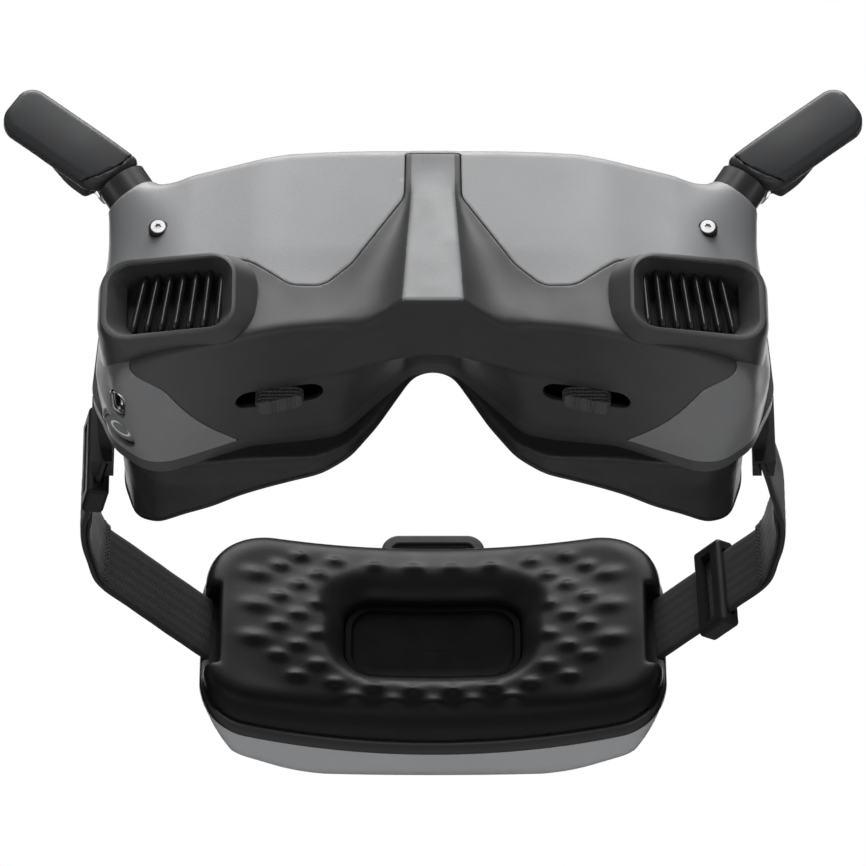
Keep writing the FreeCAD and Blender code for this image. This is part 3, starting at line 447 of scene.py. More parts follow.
def leather_pattern(nodes, links, place, height):
    """Pebbled leather: small cells with soft valleys, over the fine grain."""
    cells = nodes.new("ShaderNodeTexVoronoi")
    cells.feature = "SMOOTH_F1"
    cells.inputs["Scale"].default_value = 1150
    links.new(place, cells.inputs["Vector"])
    mix = nodes.new("ShaderNodeMix")
    mix.inputs["Factor"].default_value = 0.3
    links.new(cells.outputs["Distance"], mix.inputs["A"])
    links.new(height, mix.inputs["B"])
    return mix.outputs["Result"]


def dot_pattern(nodes, links, place, height):
    """Rows of small raised dots for grip."""
    cells = nodes.new("ShaderNodeTexVoronoi")
    cells.inputs["Scale"].default_value = 1050
    cells.inputs["Randomness"].default_value = 0.05
    links.new(place, cells.inputs["Vector"])
    dots = nodes.new("ShaderNodeValToRGB")
    dots.color_ramp.elements[0].position, dots.color_ramp.elements[1].position = 0.15, 0.5
    dots.color_ramp.elements[0].color, dots.color_ramp.elements[1].color = (1, 1, 1, 1), (0, 0, 0, 1)
    links.new(cells.outputs["Distance"], dots.inputs["Fac"])
    return dots.outputs["Color"]


def weave_pattern(nodes, links, place, height):
    """Webbing: ribs along the strap crossed by finer picks, read from the UV map in millimetres."""
    uv = nodes.new("ShaderNodeTexCoord").outputs["UV"]
    waves = []
    for direction, scale in (("X", 0.55), ("Y", 0.42)):
        wave = nodes.new("ShaderNodeTexWave")
        wave.wave_type, wave.bands_direction = "BANDS", direction
        wave.inputs["Scale"].default_value = scale
        wave.inputs["Distortion"].default_value = 0.6
        wave.inputs["Detail"].default_value = 1.0
        links.new(uv, wave.inputs["Vector"])
        waves.append(wave.outputs["Fac"])
    cross = nodes.new("ShaderNodeMix")
    cross.blend_type = "MIX"
    links.new(waves[0], cross.inputs["A"])
    links.new(waves[1], cross.inputs["B"])
    cross.inputs["Factor"].default_value = 0.45
    mix = nodes.new("ShaderNodeMix")
    mix.inputs["Factor"].default_value = 0.25
    links.new(cross.outputs["Result"], mix.inputs["A"])
    links.new(height, mix.inputs["B"])
    return mix.outputs["Result"]


LOOKS = {
    "panel": material("panel", (0.162, 0.164, 0.168), 0.45, grain=2300, depth=0.00005, strength=0.5, tone=0.07,
                      wear=0.2, specular=0.35),
    # mask: painted shade, darker within 36 mm of the middle and 2.3 times paler beyond 66 mm, for the shaded dish
    # under the lenses
    "mask": material("mask", (0.024, 0.0243, 0.0252), 0.5, grain=2300, depth=0.00005, strength=0.5, wear=0.12,
                     specular=0.25, painted_middle_shade=(0.036, 0.066, 2.3)),
    # strip: the mask's finish made paler for the flat front of the prow, painted light where that face turns to the
    # front lamps
    "strip": material("strip", (0.092, 0.094, 0.097), 0.48, grain=2300, depth=0.00005, strength=0.5, wear=0.12,
                      specular=0.3),
    "pod": material("pod", (0.038, 0.0385, 0.04), 0.42, grain=2300, depth=0.00005, strength=0.45, wear=0.1,
                    specular=0.35),
    "antenna": material("antenna", (0.03, 0.031, 0.033), 0.42, specular=0.3, grain=2600, depth=0.00004, strength=0.4),
    "collar": material("collar", (0.03, 0.03, 0.0315), 0.36, specular=0.4, grain=3000, strength=0.2),
    "fins": material("fins", (0.018, 0.018, 0.019), 0.33, grain=1500, strength=0.08, coat=0.3),
    "black": material("black", (0.007, 0.007, 0.0074), 0.55, specular=0.18, grain=2000, strength=0.35, wear=0.1),
    "gloss_rim": material("gloss_rim", (0.010, 0.010, 0.0105), 0.34, specular=0.35, grain=1800, strength=0.15,
                          wear=0.1),
    "leather": material("leather", (0.014, 0.0138, 0.0138), 0.46, grain=900, depth=0.00012, strength=0.45, tone=0.2,
                        specular=0.3, pattern=leather_pattern),
    "plate": material("plate", (0.0018, 0.0018, 0.0019), 0.6, specular=0.02, grain=2000, strength=0.3),
    "pad": material("pad", (0.0046, 0.0046, 0.0048), 0.42, specular=0.11, grain=1400, depth=0.00006, strength=0.4,
                    tone=0.2),
    "webbing": material("webbing", (0.018, 0.018, 0.0185), 0.75, specular=0.2, grain=2200, depth=0.00018,
                        strength=0.5, tone=0.2, sheen=0.04, pattern=weave_pattern),
    "battery": material("battery", (0.37, 0.375, 0.385), 0.42, grain=2300, depth=0.00005, strength=0.45, tone=0.07,
                        wear=0.2),
    "knob": material("knob", (0.05, 0.05, 0.052), 0.5, specular=0.3, grain=2000, depth=0.0004, strength=0.9,
                     pattern=dot_pattern),
    "screw": material("screw", (0.36, 0.36, 0.365), 0.46, metallic=1.0, grain=900, strength=0.12, tone=0.05),
    "steel": material("steel", (0.62, 0.62, 0.63), 0.26, metallic=1.0, grain=900, strength=0.12, tone=0.05),
    "light": material("light", (0.72, 0.74, 0.75), 0.35, grain=900, strength=0.1, tone=0.04),
    "glass": material("glass", (0.02, 0.022, 0.03), 0.06, grain=500, strength=0.02, coat=0.6, tone=0.1),
    "circuit": material("circuit", (0.01, 0.08, 0.04), 0.4, grain=700, strength=0.3),
    "copper": material("copper", (0.6, 0.3, 0.13), 0.35, metallic=1.0, grain=900, strength=0.2),
    "cell": material("cell", (0.03, 0.06, 0.16), 0.3, grain=600, strength=0.2),
}
CAD_LOOKS = {
    "rear_frame": "mask", "front_screws": "steel", "proximity_window": "glass", "ipd_rod": "steel",
    "main_board": "circuit", "heat_sink": "steel", "fan_housing": "black", "fan_impeller": "black",
    "usb_socket": "steel", "power_button": "panel", "button_light_ring": "light", "power_switch": "black",
    "joystick_dish": "black", "joystick_gimbal": "steel", "joystick_stick": "black", "back_button": "mask",
    "control_board": "circuit", "strap_pivots": "steel", "strap_clips": "black", "power_lead": "black",
    "strap_adjuster_left": "black", "strap_adjuster_right": "black", "battery_shell": "battery",
    "battery_rim": "gloss_rim", "battery_cells": "cell", "battery_board": "circuit", "crown_strap_loop": "black",
}
for side in SIDES:
    CAD_LOOKS.update({
        f"eye_barrel_{side}": "black", f"eye_lens_{side}": "glass", f"inner_lens_{side}": "glass",
        f"display_{side}": "glass", f"ipd_knob_{side}": "knob", f"antenna_neck_{side}": "collar",
        f"antenna_cover_{side}": "antenna", f"antenna_case_{side}": "antenna",
        f"antenna_element_{side}": "copper", f"antenna_pin_{side}": "steel",
    })
for node, look in CAD_LOOKS.items():
    data = NODES[node].data
    data.materials.clear()
    data.materials.append(LOOKS[look])


# ---------------------------------------------------------------- housing
OUTLINE = Outline(OUTLINE_HALF, (0, -60), (105, 60))
PLAN = Outline(PLAN_HALF, (0, -95), (105, 30))
MASK = Outline(MASK_HALF, (0, -62), (105, 62))
CORNER = Outline(CORNER_HALF, (0, -95), (105, 10), mirror=False)
PROW_Z = (-22.0, -17.5, 22.0, BODY_TOP)
PROW_FRONT = (NOSE_Y, NOSE_Y, -56.0, -50.5)
PROW_HALF = (8.0, 7.3, 5.3, 5.1)
PROW_BACK = (-52.0, -52.0, -48.0, -44.0)
PROW_BACK_HALF = (24.0, 24.0, 7.6, 7.0)


def floor_height(x, y):
    """Underside of the housing: a dished middle between two lower outer parts."""
    t = (y + 66.0) / 50.0
    middle = -19.5 - 7.5 * t
    outer = -24.5 - 12.5 * t
    side = middle - 0.24 * (np.abs(x) - (30.0 - 8.0 * t))
    return smax(outer, smin(middle, side, 3.0), 3.0)


def prow_field(x, y, z):
    front = np.interp(z, PROW_Z, PROW_FRONT)
    half = np.interp(z, PROW_Z, PROW_HALF)
    dx = np.interp(z, PROW_Z, PROW_BACK_HALF) - half
    dy = np.interp(z, PROW_Z, PROW_BACK) - front
    side = ((np.abs(x) - half) * dy - (y - front) * dx) / np.hypot(dx, dy)
    below = (-17.2 - 0.15 * (y + 70) - z) * 0.98
    f = smax(smax(front - y, side, 1.0), below, 1.6)
    return smax(smax(f, z - BODY_TOP + 0.1, 0.8), y + 48.0, 2.0)


def strip_side(x, y, z):
    """Below 0 on the flat front of the prow."""
    return np.maximum(np.abs(x) - np.interp(z, PROW_Z, PROW_HALF) - 0.2,
                      np.maximum(y - np.interp(z, PROW_Z, PROW_FRONT) - 1.3, -16.7 - z))


def shoulder_field(x, y, z):
    axis = unit(ANTENNA_AXIS)
    d = np.stack([-np.abs(x), y, z]) - ANTENNA_BASE.reshape((3,) + (1,) * np.ndim(x))
    t = np.tensordot(axis, d, 1)
    off = np.sqrt(np.maximum((d * d).sum(0) - t * t, 0))
    return smax(smax(off - 6.9 + 0.22 * np.minimum(t, 0), t, 0.6), -22 - t, 2.0)


def housing_field(x, y, z):
    ax = np.abs(x)
    arch = 11.0 * smoothstep((SHELL_REAR - y) / 35.0) * np.exp(-(ax / 16.0) ** 2) * smoothstep((12 - z) / 20)
    f = OUTLINE(ax, z + arch) - 0.3
    rake = FRONT_RAKE - 0.07 * smoothstep((64 - ax) / 50) * smoothstep((z - FRONT_Z) / 20)
    f = smax(f, PLAN(ax, y - (z - FRONT_Z) * rake), 2.6 + 4.4 * smoothstep((14 - z) / 20))
    f = smax(f, (floor_height(x, y) - z) * 0.95, 3.0)
    prow_blend = 1.5 + 5.0 * smoothstep((22 - z) / 30)
    f = smin(f, prow_field(x, y, z), prow_blend)
    f = smin(f, shoulder_field(x, y, z), 7.0)
    dimple = ((x - USB_AT[0]) / 5.0) ** 2 + ((y - USB_AT[1]) / 8.0) ** 2 + ((z - USB_AT[2]) / 5.0) ** 2
    return f + 0.9 * np.exp(-dimple)


def disc(x, y, z, at, axis, radius, deep=7.0):
    """Signed distance to a short cylinder about a point."""
    dx, dy, dz = x - at[0], y - at[1], z - at[2]
    t = dx * axis[0] + dy * axis[1] + dz * axis[2]
    off = np.sqrt(np.maximum(dx * dx + dy * dy + dz * dz - t * t, 0))
    return np.maximum(off - radius, np.abs(t) - deep)


def stadium(x, y, z, at, axis, long, half_long, half_wide, deep=7.0):
    across = np.cross(axis, long)
    dx, dy, dz = x - at[0], y - at[1], z - at[2]
    t = dx * axis[0] + dy * axis[1] + dz * axis[2]
    u = dx * long[0] + dy * long[1] + dz * long[2]
    v = dx * across[0] + dy * across[1] + dz * across[2]
    u = np.maximum(np.abs(u) - half_long + half_wide, 0)
    return np.maximum(np.hypot(u, v) - half_wide, np.abs(t) - deep)


def pod_cut(x, y, z):
    return np.maximum(rounded_rect(np.abs(x), z, 45.5, 80.0, -23.5, -1.5, 6), y + 35)


def mask_split(x, y, z):
    """Below 0 where the dark front mask is, above 0 where the cover is."""
    corner = np.maximum(CORNER(np.abs(x), y), z + 14.5)
    return np.maximum(np.maximum(MASK(np.abs(x), z), -corner), y + 12)


def cover_region(x, y, z):
    up = (0, 0, 1)
    holes = [
        pod_cut(x, y, z),
        disc(x, y, z, BUTTON_AT, CORNER_N, 5.15),
        stadium(x, y, z, USB_AT, CORNER_N, (0, 1, 0), 5.1, 2.2),
        disc(x, y, z, JOY_AT, up, 5.5),
        disc(x, y, z, BACK_AT, up, 3.2),
        disc(-np.abs(x), y, z, ANTENNA_BASE, unit(ANTENNA_AXIS), 5.2, 4),
    ]
    f = np.maximum(-mask_split(x, y, z), y - SHELL_REAR)
    for h in holes:
        f = np.maximum(f, -h)
    return f


def mask_area(x, y, z):
    slot = stadium(np.abs(x), y, z, (KNOB_X, KNOB_Y, -25.6), (0.233, 0, 0.972), (0.972, 0, -0.233), 10.8, 3.5, 9)
    f = np.maximum(mask_split(x, y, z), y - SHELL_REAR)
    return np.maximum(np.maximum(f, -slot), -pod_cut(x, y, z))


STEP = 0.85
points, quads = surface(housing_field, (-92 * 1.0, -76.0, -42.0), (92.0, -14.0, 42.0), STEP)
housing_mesh = split(points, triangles(quads), strip_side, 0)
cover = skin_piece("cover_skin", housing_mesh, housing_field, cover_region, LOOKS["panel"], "goggles")
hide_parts("main_cover")
mask = skin_piece("mask_skin", housing_mesh, housing_field, mask_area, LOOKS["mask"], "goggles")
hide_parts("front_mask")
# the flat front of the prow takes the paler strip finish: painted light on the face turned to the front lamps
mask.data.materials.append(LOOKS["strip"])
for face in mask.data.polygons:
    if strip_side(*(np.array([face.center]).T / MM))[0] < 0:
        face.material_index = 1


# ---------------------------------------------------------------- vents
def even_points(path, count):
    """Evenly spaced points round a closed outline, as two lists of coordinates."""
    closed = np.concatenate([path, path[:1]])
    along = np.concatenate([[0], np.cumsum(np.linalg.norm(np.diff(closed, axis=0), axis=1))])
    marks = np.arange(count) * along[-1] / count
    return np.interp(marks, along, closed[:, 0]), np.interp(marks, along, closed[:, 1])


def add_part(pts, faces, part, flip=False):
    """Adds a lofted part's points and faces to those of one piece."""
    p, f = part
    faces += [[v + len(pts) for v in (q[::-1] if flip else q)] for q in f]
    pts += p.tolist()


def pod_ring(x0, x1, z0, z1, r, y_in, y_out, count=28, low_r=None):
    """A rounded rectangle; its depth goes from y_in on the inner side to y_out on the outer side."""
    low_r = low_r or r
    pts = round_path([(x0, z0, low_r), (x1, z0, low_r), (x1, z1, r), (x0, z1, r)], 0.6)
    a, b = even_points(pts, count * 6)
    return np.stack([a, y_in + (y_out - y_in) * (a - x0) / (x1 - x0), b], axis=1)


POD_RINGS = [
    (43.0, 82.3, -24.2, 1.8, 9.0, -52, -40), (43.0, 82.3, -24.2, 1.8, 9.0, -60.2, -54.5),
    (43.6, 82.1, -24.0, 1.4, 8.8, -61.2, -56.5),
    (47.6, 81.4, -23.4, -0.4, 7.2, -65.6, -59.6), (48.0, 81.2, -23.1, -0.6, 7.0, -66.0, -60.0),
    (48.4, 80.8, -22.6, -1.0, 6.6, -66.1, -60.1),
    (48.9, 79.8, -21.8, -1.7, 5.8, -66.1, -60.1), (49.3, 79.2, -21.4, -2.0, 5.4, -65.6, -59.7),
    (51.7, 75.6, -19.0, -1.4, 4.2, -59.4, -55.2), (52.0, 75.2, -18.7, -1.6, 4.0, -58.6, -54.6),
    (52.0, 75.2, -18.7, -1.6, 4.0, -53.0, -49.0),
]


def vents():
    for side, s in SIDES.items():
        rings = [pod_ring(*r) * np.array([s, 1, 1]) for r in POD_RINGS]
        pts, faces = loft(rings, close_start=False)
        if s > 0:
            faces = [f[::-1] for f in faces]
        pod = piece(f"vent_pod_{side}", pts, faces, LOOKS["pod"], "goggles", [f"vent_frame_{side}"])
        sharp_by_angle(pod, 30)
        pts, faces = [], []
        for i in range(7):
            rows = []
            for k in range(15):
                t = k / 14
                z = -18.5 + 16.6 * t
                tip = 0.3 + 0.7 * math.sqrt(max(0.0, 1 - max(0.0, (t - 0.9) / 0.1) ** 2))
                foot = 0.3 + 0.7 * min(1.0, t / 0.07)
                w, d = 0.98 * min(tip, foot), 1.9 * min(tip, foot)
                cx = (52.7 + 3.5 * i) * (1 - t) + (51.6 + 3.18 * i) * t
                front = -58.2 + 0.19 * (cx - 52) - d
                arc = [q * math.pi / 8 for q in range(1, 8)]
                section = [(-1, 6.5), (-1, 2.0)] + [(-math.cos(q), 2.0 - 2.0 * math.sin(q)) for q in arc]
                section += [(1, 2.0), (1, 6.5)]
                rows.append([(s * (cx + w * a), front + b, z) for a, b in section])
            add_part(pts, faces, loft([np.array(r) for r in rows]), s > 0)
        fins = piece(f"vent_fins_{side}", pts, faces, LOOKS["fins"], "goggles",
                     [f"vent_grille_{side}"])
        sharp_by_angle(fins, 70)


vents()


# ---------------------------------------------------------------- antennas and small parts
AXIS_A = unit(ANTENNA_AXIS)
AXIS_N = unit(np.array([0, -1.0, 0]) - AXIS_A * -AXIS_A[1])
AXIS_W = np.cross(AXIS_A, AXIS_N)


def slab_field(w, n, a):
    """A paddle: a rounded slab with a crowned front, leaning outwards from its lower end."""
    c, s = math.cos(PADDLE_LEAN), math.sin(PADDLE_LEAN)
    v, u = (w + 0.5) * c + (a - 7) * s, -(w + 0.5) * s + (a - 7) * c
    f = rounded_rect(v, u, -7.0, 7.0, -20.0, PADDLE_LENGTH, 4.6)
    f = smax(f, 6.9 - a, 3.4)
    front = n - 4.55 + 0.011 * v * v + 0.010 * np.maximum(14 - u, 0) ** 2 * 0.4
    return smax(smax(f, front, 2.0), -1.2 - n, 1.0), v, u


def lid_field(w, n, a):
    """Below 0 on the front cover's side of the seam."""
    return np.maximum(8.9 + 0.022 * (w + 0.8) ** 2 - a, 1.75 - n)


def cover_part(w, n, a):
    return np.maximum(slab_field(w, n, a)[0], lid_field(w, n, a) + 0.12)


def case_part(w, n, a):
    f, v, _ = slab_field(w, n, a)
    f = np.maximum(f, 0.12 - lid_field(w, n, a))
    heel = smax(np.abs(v) - 6.5, smax(-8.1 - n, (a - 23.2 - n) * 0.7, 2.0), 1.6)
    heel = np.maximum(smax(heel, 9.6 - a, 1.0), n + 0.6)
    cheeks = np.maximum(np.hypot(n - HINGE_N, a - HINGE_A) - 3.6, np.abs(w) - 5.6)
    link = np.maximum(np.maximum(np.abs(w) - 5.6, np.abs(n + 3.8) - 3.6), np.abs(a - 10.3) - 2.3)
    f = smin(f, smin(heel, np.minimum(cheeks, link), 0.8), 0.8)
    slot = np.maximum(np.maximum(np.abs(w) - 2.8, n - 1.4), a - 12.6)
    return np.maximum(f, -slot)


def antennas():
    step = 0.5
    for part, field in (("cover", cover_part), ("case", case_part)):
        pts, quads = surface(field, (-25.0, -9.5, 1.5), (9.5, 6.0, 43.0), step, 4)
        place = ANTENNA_BASE + pts[:, :1] * AXIS_W + pts[:, 1:2] * AXIS_N + pts[:, 2:] * AXIS_A
        for side, s in SIDES.items():
            faces = (quads if s < 0 else quads[:, ::-1]).tolist()
            obj = piece(f"paddle_{part}_{side}", place * np.array([-s, 1, 1]), faces, LOOKS["antenna"],
                        f"antenna_{side}", [f"antenna_{part}_{side}"])
            sharp_by_angle(obj, 55)


def turned(profile, at, axis, count=48, lobes=()):
    """A turned part: profile of radius and height along the axis; rings listed in lobes are six-lobed."""
    axis = unit(axis)
    u = unit(np.cross(axis, (0.1, 0.2, 1)))
    v = np.cross(axis, u)
    angle = np.arange(count) * 2 * math.pi / count
    rings = []
    for k, (r, h) in enumerate(profile):
        radius = r * (1 + 0.2 * np.cos(6 * angle)) if k in lobes else r + 0 * angle
        around = np.outer(radius * np.cos(angle), u) + np.outer(radius * np.sin(angle), v)
        rings.append(np.array(at) + around + axis * h)
    return loft(rings)


def small_parts():
    out = (0, -1, 0)
    depth = np.arange(-60.0, -40.0, 0.05)
    face = depth[np.argmax(housing_field(np.full(400, 68.5), depth, np.full(400, 16.3)) < 0)] - 0.35
    sets = {"screw_heads": ([(1.0, -8), (1.0, 0.4), (1.75, 0.4), (1.95, 0.7), (1.95, 1.45), (1.8, 1.7), (0.72, 1.72),
                             (0.66, 1.6), (0.64, 1.1), (0.1, 1.1)], "screw", "steel", (6, 7, 8)),
            "screw_seats": ([(2.45, -1.5), (2.45, 0.9), (2.3, 1.1), (2.05, 1.1), (2.05, 0.8), (2.02, 0.3), (1.1, 0.3),
                             (1.1, -1.5)], "black", "black_plastic", ())}
    for name, (profile, look, slot, lobes) in sets.items():
        pts, faces = [], []
        for s in (-1, 1):
            add_part(pts, faces, turned(profile, (68.5 * s, face + 0.5, 16.3), out, 60, lobes))
        obj = piece(name, pts, faces, LOOKS[look], "goggles", ["front_screws"] if look == "screw" else ())
        sharp_by_angle(obj, 30)
    rings = []
    across = np.cross((0, 1.0, 0), CORNER_N)
    for wide, high in ((1.5, -1.2), (1.5, 0.35), (1.75, 0.5), (2.15, 0.5), (2.3, 0.3), (2.3, -1.2)):
        ring = pod_ring(-wide, wide, -wide - 2.9, wide + 2.9, wide - 0.01, 0, 0, 12)
        rings.append(USB_AT + np.outer(ring[:, 0], across) + np.outer(ring[:, 2], (0, 1, 0)) + CORNER_N * high)
    pts, faces = loft(rings, False, False)
    sharp_by_angle(piece("usb_rim", pts, faces, LOOKS["steel"], "goggles"), 40)


def button_bezel():
    profile = [(5.05, -1.5), (5.05, 0.05), (5.15, 0.25), (5.35, 0.3), (5.9, 0.05), (6.3, -0.5), (6.3, -1.5),
               (5.05, -1.5)]
    pts, faces = turned(profile, BUTTON_AT, CORNER_N, 64)
    faces = [f for f in faces if len(f) == 4]
    piece("button_bezel", pts, faces, LOOKS["panel"], "goggles")


def eye_shades():
    """A lip under each barrel that closes the gap between the barrel and the frame's window."""
    for side, s in SIDES.items():
        angle = np.radians(np.arange(246, 367, 4))
        wide = 18.3 + 4.5 * smoothstep((np.degrees(angle) - 246) / 44)
        rings = []
        for r, y in ((18.1, -18.7), (wide, -18.7), (wide, -18.3), (18.1, -18.3)):
            rings.append(np.stack([s * (32 + r * np.cos(angle)), y + 0 * angle, r * np.sin(angle)], axis=1))
        strips = np.stack(rings, axis=1)
        pts, faces = loft(list(strips))
        if s < 0:
            faces = [f[::-1] for f in faces]
        piece(f"eye_shade_{side}", pts, faces, LOOKS["plate"], f"eye_{side}")


antennas()
small_parts()
button_bezel()
eye_shades()


# ---------------------------------------------------------------- soft goods
CUSHION = Outline(CUSHION_HALF, (0, -62), (105, 62))
CUSHION_HOLE = Outline(CUSHION_HOLE_HALF, (0, -62), (105, 62))


def cushion_rear(x):
    """How far back the cushion reaches: the curve of a face."""
    back = FACE_FRONT + FACE_R - np.sqrt(np.maximum(FACE_R ** 2 - np.minimum(np.abs(x), 94) ** 2, 1))
    return np.minimum(back, 36.0)


def cushion_field(x, y, z):
    crown = 1.6 * smoothstep((y - FRAME_REAR) / 10)
    rise = smoothstep((y - FRAME_REAR) / 30) * 2.5 * smoothstep((np.abs(x) - 54) / 14) * smoothstep((-z - 12) / 14)
    outer = CUSHION(x, z - rise) + 0.9 - crown * 0.55
    hole = -CUSHION_HOLE(x, z) + 0.6
    f = smax(outer, hole, 4.0)
    f = smax(f, (y - cushion_rear(x)) * 0.86 + 0.4, 5.0)
    ear = np.maximum(np.maximum(78.6 - np.abs(x), y + 0.8), np.abs(z + 13) - 6.8)
    f = smax(f, -ear, 1.2)
    return np.maximum(f, FRAME_REAR + 0.05 - y)


def face_cushion():
    step = 1.25
    pts, quads = surface(cushion_field, (-87.5, -16.25, -43.75), (87.5, 42.5, 40.0), step)
    obj = piece("cushion_leather", pts, quads.tolist(), LOOKS["leather"], "goggles", ["face_cushion"])
    outline = round_path(both_sides(CUSHION_HALF), 1.5)
    x, z = even_points(outline, 420)
    line = np.stack([x, cushion_rear(x) - 4.6, z], axis=1)
    for _ in range(4):
        g = gradient(cushion_field, line)
        g[:, 1] *= 0.2
        line -= cushion_field(*line.T)[:, None] * g / np.maximum((g * g).sum(1, keepdims=True), 0.05)
    for _ in range(3):
        line = (line + np.roll(line, 1, 0) + np.roll(line, -1, 0)) / 3
    pts, faces = tube(line, 0.62, normals_of(cushion_field, line), 8, closed=True)
    piece("cushion_piping", pts, faces, LOOKS["leather"], "goggles")


def tube(line, radius, out, sides=8, closed=False):
    """A round tube along a line, its section turned to the direction out."""
    ahead = np.roll(line, -1, 0) - np.roll(line, 1, 0) if closed else np.gradient(line, axis=0)
    ahead /= np.linalg.norm(ahead, axis=1, keepdims=True)
    side = np.cross(ahead, out)
    side /= np.linalg.norm(side, axis=1, keepdims=True)
    up = np.cross(side, ahead)
    rings = []
    for k in range(sides):
        a = 2 * math.pi * k / sides
        rings.append(line + (side * math.cos(a) + up * math.sin(a)) * radius)
    rings = np.stack(rings, axis=1)
    if closed:
        rings = np.concatenate([rings, rings[:1]])
    pts, faces = loft(list(rings), not closed, not closed)
    return pts, faces


def to_pack(p):
    """From the pack's own axes to the frame's."""
    p = np.asarray(p, float)
    c, s = math.cos(PACK_TILT), math.sin(PACK_TILT)
    return np.stack([p[:, 0], p[:, 1] * c - p[:, 2] * s, p[:, 1] * s + p[:, 2] * c], axis=1) + PACK_AT


def head_arc(x):
    return np.sqrt(np.maximum(HEAD_R ** 2 - x * x, 1)) - HEAD_R


def low_square_rect(x, z, half, z0, z1, top_r):
    """A rectangle with rounded corners, squarer at its two lower ones."""
    upper, lower = (rounded_rect(x, z, -half, half, z0, z1, r) for r in (top_r, LOW_R))
    return np.where(z > 0, upper, lower)


def pack_field(x, y, z):
    """The battery pack: squarer below, its back bowed and bevelled above and below."""
    outline = low_square_rect(x, z, PACK_HALF_W, -PACK_HALF_H, PACK_HALF_H, TOP_R)
    rear = np.interp(np.abs(x), (0, 12, 30, 55.3, PACK_HALF_W), (26.5, 25.4, 22.0, 8.0, -5.0))
    bevel = np.where(z > 0, y - 16, y - 18) + (np.abs(z) - PACK_HALF_H) * 0.91
    return smax(smax(outline, (y - rear) * 0.87, 6.0), bevel * 0.74, 5.0)


def shell_field(x, y, z):
    along = y - head_arc(x)
    f = smax(pack_field(x, y, z), 3.6 - along, 0.8)
    return np.maximum(f, -np.maximum(np.abs(x) - 14.7, np.maximum(22 - z, np.abs(y - 7.1) - 1.8)))


def battery_pack():
    step = 1.05
    pts, quads = surface(shell_field, (-66.0, -22.0, -32.0), (66.0, 29.0, 32.0), step)
    shell = piece("pack_shell", to_pack(pts), quads.tolist(), LOOKS["battery"], "headband",
                  ["battery_shell"])
    sharp_by_angle(shell, 50)
    rings = []
    for out, along in ((-4.5, 2.0), (-4.5, 0.0), (-0.9, 0.0), (-0.2, 0.3), (0.25, 1.2), (0.45, 2.5), (0.45, 4.3),
                       (0.3, 4.75), (0.0, 4.95), (-4.5, 5.0), (-4.5, 2.0)):
        w, h = PACK_HALF_W + out, PACK_HALF_H + out
        ring = pod_ring(-w, w, -h, h, TOP_R + out, 0, 0, 60, LOW_R + out)
        ring[:, 1] = head_arc(ring[:, 0]) + along
        rings.append(to_pack(ring))
    pts, faces = loft(rings, False, False)
    rim = piece("pack_rim", pts, faces, LOOKS["gloss_rim"], "headband", ["battery_rim"])
    sharp_by_angle(rim, 50)


def bump_sites():
    """Raised spots on the pad: x, z, half sizes. Staggered columns at the sides, rows above and below."""
    half = [(48.5, z, 3.6, 1.9) for z in (14.5, 3.8, -6.8)]
    half += [(42.3, z, 2.2, 1.35) for z in (18.3, 7.8, -1.9, -11.5)]
    half += [(36.9, z, 2.2, 1.35) for z in (22.3, 12.3, 2.1, -7.9, -17.3)]
    half += [(31.5, z, 2.2, 1.35) for z in (16.3, 6.2, -3.8, -13.5)]
    half += [(27.0, 21.6, 2.3, 1.4), (16.2, 20.5, 2.3, 1.4), (5.4, 20.1, 2.3, 1.4)]
    half += [(26.5, -18.7, 2.3, 1.3), (16.2, -19.5, 2.3, 1.3), (5.4, -20.2, 2.3, 1.3)]
    half += [(21.4, -22.6, 2.4, 1.5), (10.8, -23.4, 2.4, 1.5)]
    return half + [(-x, z, a, b) for x, z, a, b in half] + [(0.0, -23.7, 2.4, 1.5)]


SITES = bump_sites()


def pad_field(x, y, z):
    front = 0.78 * head_arc(x) - PAD_T - 0.3
    bumps = np.zeros_like(x)
    for a, b, wide, tall in SITES:
        bumps += np.exp(-((x - a) / wide) ** 2 - ((z - b) / tall) ** 2)
    crown = 1.6 * smoothstep((np.hypot(x / 60, (z + 1) / 27) - 0.55) / 0.5)
    face = front + crown - 0.3 - 1.0 * bumps
    block = low_square_rect(x, z, 62.6, -28.6, 30.2, 19)
    f = smax(block, (face - y) * 0.97, 7.0)
    recess = rounded_rect(x, z, -24.5, 24.5, -13.4, 11.9, 8.5)
    flare = smoothstep((0.78 * head_arc(x) - 6 - y) / 8) ** 2
    f = smax(f, -(recess - flare * (3.2 + 3.6 * smoothstep(z / 12))), 3.2)
    slot = np.maximum(58.4 - np.abs(x), np.abs(z + 3.0) - 12.5)
    f = smax(f, -slot, 1.5)
    return np.maximum(f, y - head_arc(x) + 0.3)


def head_pad():
    step = 1.0
    pts, quads = surface(pad_field, (-64.0, -36.0, -31.0), (64.0, 4.0, 33.0), step)
    obj = piece("pad_foam", to_pack(pts), quads.tolist(), LOOKS["pad"], "headband", ["head_pad"])
    rings = []
    for inset, back in ((0.1, 2.0), (0.1, -0.2), (0.5, -0.6), (2.0, -0.6), (2.4, 0.1), (2.8, 0.25), (5, 0.25),
                        (7, 0.25), (9, 0.25), (11, 0.25)):
        radius = max(8.5 - inset * 0.8, 0.5)
        ring = pod_ring(-24.5 + inset, 24.5 - inset, -13.4 + inset, 11.9 - inset, radius, 0, 0, 30)
        ring[:, 1] = 0.78 * head_arc(ring[:, 0]) - 6.2 + back
        rings.append(to_pack(ring))
    pts, faces = loft(rings, False, True)
    plate = piece("pad_plate", pts, [f[::-1] for f in faces], LOOKS["plate"], "headband")
    sharp_by_angle(plate, 40)


# ---------------------------------------------------------------- straps
def strap_slope(y):
    (y0, z0), (y1, z1), (y2, z2) = STRAP_FALL
    blend = smoothstep((y - y1 + 12) / 24)
    first = z1 + (z1 - z0) / (y1 - y0) * (y - y1)
    second = z1 + (z2 - z1) / (y2 - y1) * (y - y1)
    return first * (1 - blend) + second * blend


